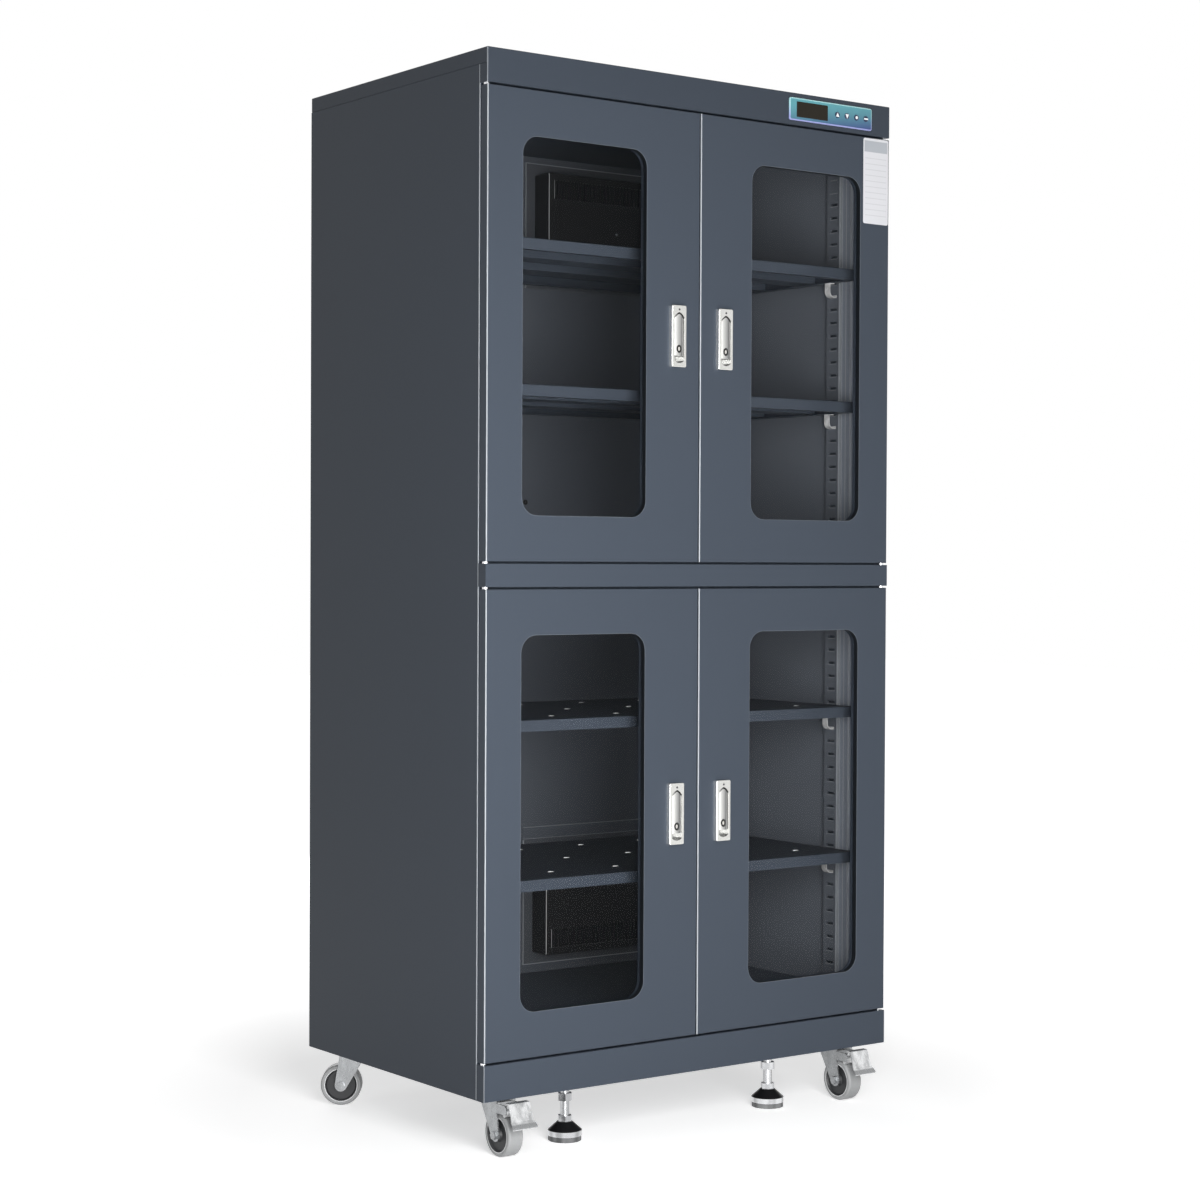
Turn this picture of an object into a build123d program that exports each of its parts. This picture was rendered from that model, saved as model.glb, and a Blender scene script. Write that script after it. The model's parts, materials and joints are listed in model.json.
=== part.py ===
from build123d import *
from math import cos, radians, sin
import os

# A four-door desiccator cabinet on casters: folded sheet-metal body, two drying units on the
# rear wall, four glazed doors with flush handles, four lift-out shelves on slotted uprights.
# Frame: +Z up, +X to the viewer's right, +Y to the back. The origin is under the middle of
# the whole assembly, on the floor. "Depth" below always counts back from the doors' face.

# Overall sizes
cabinet_width = 900.0
body_depth = 585.0
body_height = 1750.0
caster_height = 105.0

# Sheet metal
sheet = 1.2
bend_radius = 1.8
face_joint = 0.6
side_return = 25.0

# Heights of the front's bars
plinth_height = 61.0
mid_rail_height = 39.0
header_height = 58.0
cover_flange = 26.0
floor_height = 90.0

# Doors
door_depth = 20.0
door_gap = 3.6
door_side_inset = 1.0
door_centre_gap = 3.0
pivot_inset = 6.0
pivot_depth = 11.0
pivot_radius = 3.5
pivot_collar_radius = 5.0
pivot_length = 14.0
pivot_block_width = 12.0
pivot_block_height = 16.0
seal_inset = 9.0
seal_width = 12.0
seal_depth = 2.3
lift_clearance = 0.3
running_clearance = 0.05

# Windows
window_width = 260.0
window_height = 634.0
window_corner = 30.0
window_margin = 71.0
reveal_depth = 10.0
glass_depth = 4.0
glass_lap = 8.0
liner_step = 2.0

# Front frame behind the doors
post_width = 30.3
post_depth = 38.2
post_wing = 9.3
post_groove = 3.0
groove_pitch = 14.0
post_back = 122.0
mullion_flange = 60.0
mullion_width = 28.0
mullion_depth = 30.0
opening_lap = 26.0

# Slotted uprights, shelves and clips
upright_width = 36.0
upright_depth = 9.8
upright_sheet = 1.5
front_upright_depth = 125.0
rear_upright_depth = 450.0
slot_pitch = 25.0
slot_length = 20.0
slot_height = 5.0
first_slot = 133.0
last_slot_drop = 60.0
shelf_front = 72.0
shelf_depth = 450.0
shelf_thickness = 20.0
shelf_lip = 14.0
shelf_side_gap = 1.0
shelf_slots = (52, 42, 19, 8)
stiffener_width = 60.0
stiffener_depth = 15.0
clip_width = 14.0
clip_sheet = 1.6
clip_reach = 14.0
clip_bow = 11.0
clip_seat = 11.0
clip_hook = 8.0

# Drying units and their frames on the rear wall
unit_width = 300.0
unit_height = 200.0
unit_depth = 48.0
unit_corner = 6.0
unit_bevel = 2.0
unit_frame_strip = 22.0
unit_frame_gap = 0.5
unit_frame_depth = 3.0
unit_offset = 198.0
unit_shelf_gap = 4.0
vent_pitch = 7.0
vent_width = 3.5
vent_height = 36.0
vent_cut = 6.0
vent_edge = 14.0
wall_port_inset = 14.0
rear_cover_depth = 25.2
louvre_height = 6.0
louvre_pitch = 18.0
louvre_length = 220.0
louvre_count = 9

# Control panel in the header
panel_width = 200.0
panel_height = 41.0
panel_corner = 4.0
panel_bevel = 1.0
panel_depth = 3.0
panel_side_inset = 147.5
panel_drop = 29.5
controller_inset = 5.0
controller_depth = 45.0
screen_width = 75.0
screen_height = 28.0
screen_corner = 1.5
screen_depth = 1.6
screen_offset = -46.0
button_radius = 5.25
button_clearance = 0.3
button_travel = 0.5
button_proud = 1.0
button_first = 14.5
button_pitch = 23.4

# Door handles
handle_offset = 52.5
handle_width = 32.0
handle_height = 108.0
handle_proud = 9.0
handle_corner = 3.0
handle_round = 1.5
handle_body_width = 25.0
handle_body_height = 100.0
handle_body_depth = 12.0
handle_cut_gap = 0.5
recess_width = 21.4
recess_top = 12.0
recess_bottom = 101.0
recess_floor = 3.0
recess_bowl = 5.0
handle_arch = 9.0
lever_width = 20.0
lever_top = 15.0
lever_bottom = 88.0
lever_proud = 8.5
lever_back = 2.2
lever_crown = 28.0
lever_pin_drop = 23.0
lever_pin_depth = 5.2
lever_pin_radius = 1.5
lever_pin_grip = 1.0
lock_drop = 76.0
barrel_radius = 4.0
barrel_face = 8.0
barrel_slot_width = 11.0
barrel_slot_height = 14.0
key_slot_width = 1.2
key_slot_length = 5.0
key_slot_depth = 2.0
liner_hole_radius = 7.0
cam_gap = 0.8
cam_thickness = 2.0
cam_width = 14.0
cam_reach = 32.0
cam_square = 5.5
cam_screw_radius = 5.0
cam_screw_head = 3.5

# Casters
caster_front_inset = 68.0
caster_rear_inset = 58.0
caster_side_inset = 68.0
plate_size = 76.0
plate_thickness = 3.5
plate_corner = 8.0
plate_bolt_spacing = 56.0
bolt_head_radius = 6.5
bolt_head_height = 4.5
race_radius = 24.0
race_height = 5.5
race_gap = 0.3
king_pin_radius = 5.0
king_nut_radius = 9.0
king_nut_height = 4.0
fork_sheet = 2.5
fork_inner_width = 33.0
fork_skirt = 25.7
fork_rear = 20.0
fork_front = 30.0
crown_radius = 27.0
wheel_radius = 37.5
wheel_width = 30.0
wheel_trail = 28.0
hub_radius = 29.0
hub_boss_radius = 10.0
hub_dish = 4.0
hub_boss_flare = 2.0
hub_rim = 3.0
tyre_round = 4.0
axle_radius = 4.0
axle_head_radius = 7.5
axle_head_height = 5.0
axle_end_radius = 11.0
pedal_pivot_reach = 54.0
pedal_pivot_height = 84.0
pedal_pivot_radius = 2.5
pedal_ear_radius = 8.0
pedal_width = 32.0
pedal_plate_width = 42.0
pedal_lip_width = 50.0
pedal_flare = 14.0
pedal_sheet = 2.5
pedal_boss_radius = 5.5
pedal_reach = 92.0
pedal_tip_height = 56.0
pedal_heel = 3.0
pedal_top_start = 7.0
pedal_top_end = 18.0
pedal_knee = 29.0
pedal_sag = 8.0
lug_reach = 10.5
lug_radius = 3.5
lug_angle = 108.0
rear_left_turn = -126.2
rear_right_turn = 152.0

# Levelling feet
foot_offset = 230.0
foot_inset = 77.0
foot_radius = 30.0
foot_pad_height = 9.0
foot_ring_height = 9.0
foot_cone_height = 15.0
foot_neck_radius = 13.0
foot_hex_radius = 13.0
foot_hex_height = 10.0
foot_stem_radius = 8.0
foot_stem_top = 118.0
foot_pad_inset = 1.0
foot_stem_gap = 1.0
foot_nut_radius = 13.5
foot_nut_height = 13.0
lock_nut_bottom = 69.0

# Places worked out from the sizes above
half_width = cabinet_width / 2
inner_half = half_width - sheet
front_reach = pedal_reach - caster_front_inset
back_reach = rear_cover_depth - sheet
front_y = front_reach - (front_reach + body_depth + back_reach) / 2
back_y = front_y + body_depth
wall_y = back_y - 2 * sheet
base_z = caster_height
top_z = base_z + body_height
plinth_top = base_z + plinth_height
header_bottom = top_z - header_height
door_height = (body_height - plinth_height - mid_rail_height - header_height - 4 * door_gap) / 2
lower_door_z = plinth_top + door_gap
mid_rail_bottom = lower_door_z + door_height + door_gap
mid_rail_top = mid_rail_bottom + mid_rail_height
upper_door_z = mid_rail_top + door_gap
floor_top = base_z + floor_height
seam_z = top_z - cover_flange
frame_depth = door_depth + seal_depth + lift_clearance
frame_y = front_y + frame_depth
frame_back_y = frame_y + sheet
door_outer = half_width - door_side_inset
door_inner = door_centre_gap / 2
door_width = door_outer - door_inner
door_centre = (door_outer + door_inner) / 2
window_centre = door_outer - window_margin - window_width / 2
pivot_x = half_width - pivot_inset
pivot_y = front_y + pivot_depth
bore_radius = pivot_radius + running_clearance
upright_face = inner_half - upright_depth
shelf_half = upright_face - shelf_side_gap
front_upright_y = front_y + front_upright_depth + upright_width / 2
rear_upright_y = front_y + rear_upright_depth + upright_width / 2
slot_count = int((header_bottom - last_slot_drop - base_z - first_slot) / slot_pitch)
slots_z = [base_z + first_slot + index * slot_pitch for index in range(slot_count)]
shelves_z = [slots_z[index] for index in shelf_slots]
lower_unit_z = shelves_z[-1] - unit_shelf_gap - unit_height / 2
upper_unit_z = shelves_z[0] + shelf_thickness + unit_shelf_gap + unit_height / 2
units_z = (lower_unit_z, upper_unit_z)
panel_z = top_z - panel_drop
panel_x = half_width - panel_side_inset
buttons_x = [panel_x + button_first + index * button_pitch for index in range(4)]
caster_front_y = front_y + caster_front_inset
caster_rear_y = back_y - caster_rear_inset
caster_x = half_width - caster_side_inset
plate_bottom = base_z - plate_thickness
race_bottom = plate_bottom - race_height
crown_top = race_bottom - race_gap
crown_bottom = crown_top - fork_sheet
foot_y = front_y + foot_inset
doors = (
    ("upper_left", -1, upper_door_z),
    ("upper_right", 1, upper_door_z),
    ("lower_left", -1, lower_door_z),
    ("lower_right", 1, lower_door_z),
)
casters = (
    ("front_left", -caster_x, caster_front_y, 0.0),
    ("front_right", caster_x, caster_front_y, 0.0),
    ("rear_left", -caster_x, caster_rear_y, rear_left_turn),
    ("rear_right", caster_x, caster_rear_y, rear_right_turn),
)

os.makedirs("parts", exist_ok=True)


def save(part, name):
    part.label = name
    export_step(part, f"parts/{name}.step")


def save_group(pieces, name):
    # Pieces that touch but stay separate solids of one node.
    save(Compound(label=name, children=[piece.solid() for piece in pieces]), name)


def block(x_ends, y_ends, z_ends, mode=Mode.ADD):
    # A box between two opposite corners, added to or cut from the part being built.
    sizes = [abs(high - low) for low, high in (x_ends, y_ends, z_ends)]
    centre = tuple((low + high) / 2 for low, high in (x_ends, y_ends, z_ends))
    with Locations(centre):
        Box(*sizes, mode=mode)


def upright_plane(depth):
    # A plane facing the viewer, a given depth behind the doors' face.
    return Plane.XZ.offset(-(front_y + depth))


def extrude_back(thickness, mode=Mode.ADD):
    extrude(amount=-thickness, mode=mode)


# Side panels: a flat web with a rear return, and tabs that carry it forward beside the
# plinth, the middle rail and the header, where no door closes over its edge.
def make_side_panel(side):
    web = (side * inner_half, side * half_width)
    with BuildPart() as side_panel:
        block(web, (frame_y, back_y), (base_z, seam_z - face_joint))
        for low, high in (
            (base_z, plinth_top),
            (mid_rail_bottom, mid_rail_top),
            (header_bottom, seam_z - face_joint),
        ):
            block(web, (front_y + sheet, frame_y), (low, high))
        block(
            (side * (half_width - side_return), side * inner_half),
            (back_y - sheet, back_y),
            (base_z, seam_z - face_joint),
        )
    return side_panel.part


save(make_side_panel(-1), "side_panel_left")
save(make_side_panel(1), "side_panel_right")

# Top cover: a lid whose front fold makes the header's whole face and whose other folds
# make a shorter flange above the side seam.
with BuildPart() as top_cover:
    with BuildSketch(Plane.XY.offset(header_bottom)):
        with Locations((0, (front_y + back_y) / 2)):
            Rectangle(cabinet_width, body_depth)
    extrude(amount=header_height)
    fillet(top_cover.edges().filter_by(Axis.Z), bend_radius)
    fillet(top_cover.faces().sort_by(Axis.Z)[-1].edges(), bend_radius)
    offset(amount=-sheet, openings=top_cover.faces().sort_by(Axis.Z)[0])
    block((-half_width, half_width), (front_y + sheet, back_y), (header_bottom, seam_z), Mode.SUBTRACT)
    with BuildSketch(upright_plane(0)):
        with Locations((panel_x, panel_z)):
            Rectangle(panel_width - 2 * controller_inset, panel_height - 2 * controller_inset)
    extrude_back(sheet, mode=Mode.SUBTRACT)
save(top_cover.part, "top_cover")

# Header tray: the ceiling of the dry space, with flanges that close the joint behind the
# cover's seam.
with BuildPart() as header_tray:
    block((-inner_half, inner_half), (front_y + sheet, wall_y + sheet), (header_bottom, header_bottom + sheet))
    for side in (-1, 1):
        block(
            (side * (inner_half - sheet), side * inner_half),
            (front_y + bend_radius + sheet, wall_y + sheet),
            (header_bottom, seam_z + cover_flange / 2),
        )
    block((-inner_half, inner_half), (wall_y, wall_y + sheet), (header_bottom, seam_z + cover_flange / 2))
save(header_tray.part, "header_tray")

# Base pan with the plinth's face, the floor pan on it, and a weld nut for each foot.
with BuildPart() as base_pan:
    block((-half_width, half_width), (front_y, front_y + sheet), (base_z, plinth_top))
    block((-inner_half, inner_half), (front_y, back_y - sheet), (base_z, base_z + sheet))
    block((-inner_half, inner_half), (front_y, frame_y), (plinth_top - sheet, plinth_top))
    fillet(base_pan.edges().filter_by(Axis.X).group_by(Axis.Y)[0], sheet / 2)
    with Locations((-foot_offset, foot_y, base_z), (foot_offset, foot_y, base_z)):
        Hole(foot_stem_radius + foot_stem_gap)

with BuildPart() as floor_pan:
    block((-inner_half, inner_half), (frame_back_y, wall_y), (floor_top - sheet, floor_top))
    for low_y in (frame_back_y, wall_y - sheet):
        block((-inner_half, inner_half), (low_y, low_y + sheet), (base_z + sheet, floor_top))
    with Locations((-foot_offset, foot_y, floor_top), (foot_offset, foot_y, floor_top)):
        Hole(foot_stem_radius + foot_stem_gap, depth=sheet)


# M16 nut: welded inside the base for each levelling foot, and run down the foot's stem.
def make_foot_nut(x, bottom_z, bore_gap):
    with BuildPart() as foot_nut:
        with BuildSketch(Plane((x, foot_y, bottom_z))):
            RegularPolygon(foot_nut_radius, 6)
            Circle(foot_stem_radius + bore_gap, mode=Mode.SUBTRACT)
        extrude(amount=foot_nut_height)
    return foot_nut.part


weld_nuts = [make_foot_nut(x, base_z + sheet, running_clearance) for x in (-foot_offset, foot_offset)]
save_group([base_pan.part, floor_pan.part, *weld_nuts], "base_pan")

# Rear wall between the side panels' returns, with a port behind each drying unit.
with BuildPart() as back_panel:
    block((-inner_half, inner_half), (wall_y, wall_y + sheet), (base_z + sheet, header_bottom))
    for unit_z in units_z:
        with BuildSketch(Plane.XZ.offset(-wall_y)):
            with Locations((unit_offset, unit_z)):
                Rectangle(unit_width - 2 * wall_port_inset, unit_height - 2 * wall_port_inset)
        extrude_back(sheet, mode=Mode.SUBTRACT)
save(back_panel.part, "back_panel")

# Front frame: flat plates that the door seals close on, three uprights with the rails
# welded between them. The lock cams hook behind the middle upright.
opening_outer = inner_half - post_width
opening_inner = mullion_flange / 2
frame_bottom = base_z + sheet
rails_z = (
    (frame_bottom, lower_door_z + opening_lap),
    (lower_door_z + door_height - opening_lap, upper_door_z + opening_lap),
    (upper_door_z + door_height - opening_lap, header_bottom),
)


def make_frame_plate(x_ends, z_ends):
    with BuildPart() as frame_plate:
        block(x_ends, (frame_y, frame_back_y), z_ends)
    return frame_plate.part


frame_plates = [
    make_frame_plate(x_ends, (frame_bottom, header_bottom))
    for x_ends in ((-inner_half, -opening_outer), (-opening_inner, opening_inner), (opening_outer, inner_half))
]
frame_plates += [
    make_frame_plate((side * opening_inner, side * opening_outer), rail_z)
    for rail_z in rails_z
    for side in (-1, 1)
]

# Middle rail: a channel that comes forward between the upper and the lower doors.
with BuildPart() as mid_rail:
    block((-half_width, half_width), (front_y, front_y + sheet), (mid_rail_bottom, mid_rail_top))
    block((-inner_half, inner_half), (front_y, frame_y), (mid_rail_bottom, mid_rail_bottom + sheet))
    block((-inner_half, inner_half), (front_y, frame_y), (mid_rail_top - sheet, mid_rail_top))
    fillet(mid_rail.edges().filter_by(Axis.X).group_by(Axis.Y)[0], sheet / 2)


# Corner post: a hollow folded post whose thin wing has vertical grooves.
def make_corner_post(side):
    def corner(inset, y):
        return (side * (inner_half - inset), y)

    grooved = post_wing - post_groove
    wing_front = frame_back_y + post_depth
    groove_ys = [front_y + post_back - step * groove_pitch for step in (3, 2, 1, 0)]
    with BuildPart() as corner_post:
        with BuildSketch(Plane.XY.offset(floor_top)):
            with BuildLine():
                Polyline(
                    corner(0, frame_back_y),
                    corner(post_width, frame_back_y),
                    corner(post_width, wing_front),
                    corner(post_wing, wing_front),
                    corner(post_wing, groove_ys[0]),
                    corner(grooved, groove_ys[0]),
                    corner(grooved, groove_ys[1]),
                    corner(post_wing, groove_ys[1]),
                    corner(post_wing, groove_ys[2]),
                    corner(grooved, groove_ys[2]),
                    corner(grooved, groove_ys[3]),
                    corner(0, groove_ys[3]),
                    close=True,
                )
            make_face()
            offset(amount=-sheet, kind=Kind.INTERSECTION, mode=Mode.SUBTRACT)
        extrude(amount=header_bottom - floor_top)
    return corner_post.part


with BuildPart() as mullion:
    with BuildSketch(Plane.XY.offset(floor_top)):
        with Locations((0, frame_back_y + mullion_depth / 2)):
            Rectangle(mullion_width, mullion_depth)
            Rectangle(mullion_width - 2 * sheet, mullion_depth - 2 * sheet, mode=Mode.SUBTRACT)
    extrude(amount=header_bottom - floor_top)

corner_posts = [make_corner_post(-1), make_corner_post(1)]
save_group(frame_plates + [mid_rail.part, mullion.part] + corner_posts, "front_frame")


# Slotted upright: a channel on the side wall with a slot every pitch for the shelf clips.
def make_upright(side, y):
    with BuildPart() as upright:
        block(
            (side * upright_face, side * inner_half),
            (y - upright_width / 2, y + upright_width / 2),
            (floor_top, header_bottom),
        )
        block(
            (side * (upright_face + upright_sheet), side * inner_half),
            (y - upright_width / 2 + upright_sheet, y + upright_width / 2 - upright_sheet),
            (floor_top, header_bottom),
            Mode.SUBTRACT,
        )
        with BuildSketch(Plane.YZ.offset(side * upright_face)):
            with Locations([(y, slot_z) for slot_z in slots_z]):
                Rectangle(slot_length, slot_height)
        extrude(amount=side * upright_sheet, mode=Mode.SUBTRACT)
    return upright.part


uprights = [make_upright(side, y) for side in (-1, 1) for y in (front_upright_y, rear_upright_y)]
save_group(uprights, "shelf_uprights")


# Shelf: a tray turned upside down, its edges folded down and in, with two stiffeners.
def make_shelf(shelf_z):
    low_y = front_y + shelf_front
    high_y = low_y + shelf_depth
    with BuildPart() as shelf:
        with BuildSketch(Plane.XY.offset(shelf_z)):
            with Locations((0, (low_y + high_y) / 2)):
                Rectangle(2 * shelf_half, shelf_depth)
        extrude(amount=shelf_thickness)
        fillet(shelf.faces().sort_by(Axis.Z)[-1].edges(), bend_radius)
        offset(amount=-sheet, openings=shelf.faces().sort_by(Axis.Z)[0])
        inner_x = shelf_half - sheet
        with BuildSketch(Plane.XY.offset(shelf_z)):
            with Locations((0, (low_y + high_y) / 2)):
                Rectangle(2 * inner_x, shelf_depth - 2 * sheet)
                Rectangle(2 * (inner_x - shelf_lip), shelf_depth - 2 * (sheet + shelf_lip), mode=Mode.SUBTRACT)
        extrude(amount=sheet)
        for share in (1 / 3, 2 / 3):
            y = low_y + share * shelf_depth
            stiffener_top = shelf_z + shelf_thickness - sheet
            for edge in (-1, 1):
                wall_low = y + edge * stiffener_width / 2
                block(
                    (-inner_x, inner_x),
                    (wall_low, wall_low - edge * sheet),
                    (stiffener_top - stiffener_depth, stiffener_top),
                )
            block(
                (-inner_x, inner_x),
                (y - stiffener_width / 2, y + stiffener_width / 2),
                (stiffener_top - stiffener_depth, stiffener_top - stiffener_depth + sheet),
            )
    return shelf.part


for number, shelf_z in enumerate(shelves_z, start=1):
    save(make_shelf(shelf_z), f"shelf_{number}")


# Shelf clip: a bent strip that hooks up behind a slot's lower lip, bows out and up, and
# folds back in under the shelf's lip as its seat.
def make_clip(side, y, shelf_z):
    slot_z = shelf_z - slot_pitch
    tongue_z = slot_z - slot_height / 2 + clip_sheet / 2
    hook_x = upright_face + upright_sheet + clip_sheet / 2
    bow_x = upright_face - clip_reach
    seat_z = shelf_z - clip_sheet / 2
    with BuildPart() as clip:
        with BuildSketch(Plane.XZ.offset(-(y - clip_width / 2))):
            with BuildLine():
                Polyline((side * hook_x, tongue_z + clip_hook), (side * hook_x, tongue_z),
                         (side * (bow_x + clip_bow), tongue_z))
                ThreePointArc(
                    (side * (bow_x + clip_bow), tongue_z),
                    (side * (bow_x + clip_bow * (1 - sin(radians(45)))),
                     tongue_z + clip_bow * (1 - cos(radians(45)))),
                    (side * bow_x, tongue_z + clip_bow),
                )
                Polyline((side * bow_x, tongue_z + clip_bow), (side * bow_x, seat_z),
                         (side * (bow_x + clip_seat), seat_z))
            trace(line_width=clip_sheet)
        extrude_back(clip_width)
    return clip.part


clips = [
    make_clip(side, y, shelf_z)
    for shelf_z in shelves_z
    for side in (-1, 1)
    for y in (front_upright_y, rear_upright_y)
]
save_group(clips, "shelf_clips")


# Drying units: a moulded box with a row of vent slots, the upper one's along its top and
# the lower one's along its bottom, inside a flat frame fixed to the wall.
def make_unit(unit_z, vents_at_top):
    face_depth = wall_y - unit_depth
    vents_z = unit_z + (1 if vents_at_top else -1) * (unit_height / 2 - vent_edge - vent_height / 2)
    vent_count = int((unit_width - 2 * vent_edge) / vent_pitch)
    with BuildPart() as unit:
        with BuildSketch(Plane.XZ.offset(-face_depth)):
            with Locations((unit_offset, unit_z)):
                RectangleRounded(unit_width, unit_height, unit_corner)
        extrude_back(unit_depth)
        chamfer(unit.faces().sort_by(Axis.Y)[0].edges(), unit_bevel)
        with BuildSketch(Plane.XZ.offset(-face_depth)):
            with Locations((unit_offset, vents_z)):
                with GridLocations(vent_pitch, 0, vent_count, 1):
                    Rectangle(vent_width, vent_height)
        extrude_back(vent_cut, mode=Mode.SUBTRACT)
    return unit.part


def make_unit_frame(unit_z):
    inner_width = unit_width + 2 * unit_frame_gap
    inner_height = unit_height + 2 * unit_frame_gap
    with BuildPart() as unit_frame:
        with BuildSketch(Plane.XZ.offset(-(wall_y - unit_frame_depth))):
            with Locations((unit_offset, unit_z)):
                Rectangle(inner_width + 2 * unit_frame_strip, inner_height + 2 * unit_frame_strip)
                Rectangle(inner_width, inner_height, mode=Mode.SUBTRACT)
        extrude_back(unit_frame_depth)
    return unit_frame.part


# Louvred cover outside the rear wall, where each unit breathes out.
def make_rear_cover(unit_z):
    outer_y = wall_y + sheet + rear_cover_depth
    with BuildPart() as rear_cover:
        with BuildSketch(Plane.XZ.offset(-(wall_y + sheet))):
            with Locations((unit_offset, unit_z)):
                Rectangle(unit_width, unit_height)
        extrude_back(rear_cover_depth)
        fillet(rear_cover.faces().sort_by(Axis.Y)[-1].edges(), bend_radius)
        offset(amount=-sheet, openings=rear_cover.faces().sort_by(Axis.Y)[0])
        with BuildSketch(Plane.XZ.offset(-outer_y)):
            with Locations((unit_offset, unit_z)):
                with GridLocations(0, louvre_pitch, 1, louvre_count):
                    Rectangle(louvre_length, louvre_height)
        extrude(amount=sheet, mode=Mode.SUBTRACT)
    return rear_cover.part


save_group([make_unit(lower_unit_z, False), make_unit(upper_unit_z, True)], "dehumidifier_units")
save_group([make_unit_frame(unit_z) for unit_z in units_z], "dehumidifier_frames")
save_group([make_rear_cover(unit_z) for unit_z in units_z], "rear_covers")

# Control panel: a thin bezel on the header's face and the controller's case behind it.
with BuildPart() as bezel:
    with BuildSketch(upright_plane(-panel_depth)):
        with Locations((panel_x, panel_z)):
            RectangleRounded(panel_width, panel_height, panel_corner)
    extrude_back(panel_depth)
    chamfer(bezel.faces().sort_by(Axis.Y)[0].edges(), panel_bevel)
    with BuildSketch(upright_plane(-panel_depth)):
        with Locations((panel_x + screen_offset, panel_z)):
            RectangleRounded(screen_width, screen_height, screen_corner)
    extrude_back(screen_depth, mode=Mode.SUBTRACT)
    with BuildSketch(upright_plane(-panel_depth)):
        with Locations([(x, panel_z) for x in buttons_x]):
            Circle(button_radius + button_clearance)
    extrude_back(panel_depth, mode=Mode.SUBTRACT)

with BuildPart() as controller:
    case_inset = controller_inset + face_joint
    with BuildSketch(upright_plane(0)):
        with Locations((panel_x, panel_z)):
            Rectangle(panel_width - 2 * case_inset, panel_height - 2 * case_inset)
    extrude_back(controller_depth)
save_group([bezel.part, controller.part], "control_panel")

with BuildPart() as display_window:
    with BuildSketch(upright_plane(-panel_depth)):
        with Locations((panel_x + screen_offset, panel_z)):
            RectangleRounded(screen_width, screen_height, screen_corner)
    extrude_back(screen_depth)
save(display_window.part, "display_window")

for number, button_x in enumerate(buttons_x, start=1):
    button_back = button_travel + button_clearance
    with BuildPart() as button:
        with BuildSketch(upright_plane(-panel_depth - button_proud)):
            with Locations((button_x, panel_z)):
                Circle(button_radius)
        extrude_back(panel_depth + button_proud - button_back)
        fillet(button.faces().sort_by(Axis.Y)[0].edges(), button_proud / 2)
    save(button.part, f"button_{number}")


# Hinge pin: a shaft with a thrust collar that fills the gap at a door's corner.
def make_hinge_pin(side, seat_z, direction):
    collar_height = door_gap - lift_clearance
    with BuildPart() as hinge_pin:
        with BuildSketch(Plane((side * pivot_x, pivot_y, seat_z))):
            Circle(pivot_collar_radius)
        extrude(amount=direction * collar_height)
        with BuildSketch(Plane((side * pivot_x, pivot_y, seat_z))):
            Circle(pivot_radius)
        extrude(amount=direction * (door_gap + pivot_length))
    return hinge_pin.part


hinge_pins = []
for _, side, door_z in doors:
    hinge_pins.append(make_hinge_pin(side, door_z - door_gap, 1))
    hinge_pins.append(make_hinge_pin(side, door_z + door_height + door_gap, -1))
save_group(hinge_pins, "hinge_pins")


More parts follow.
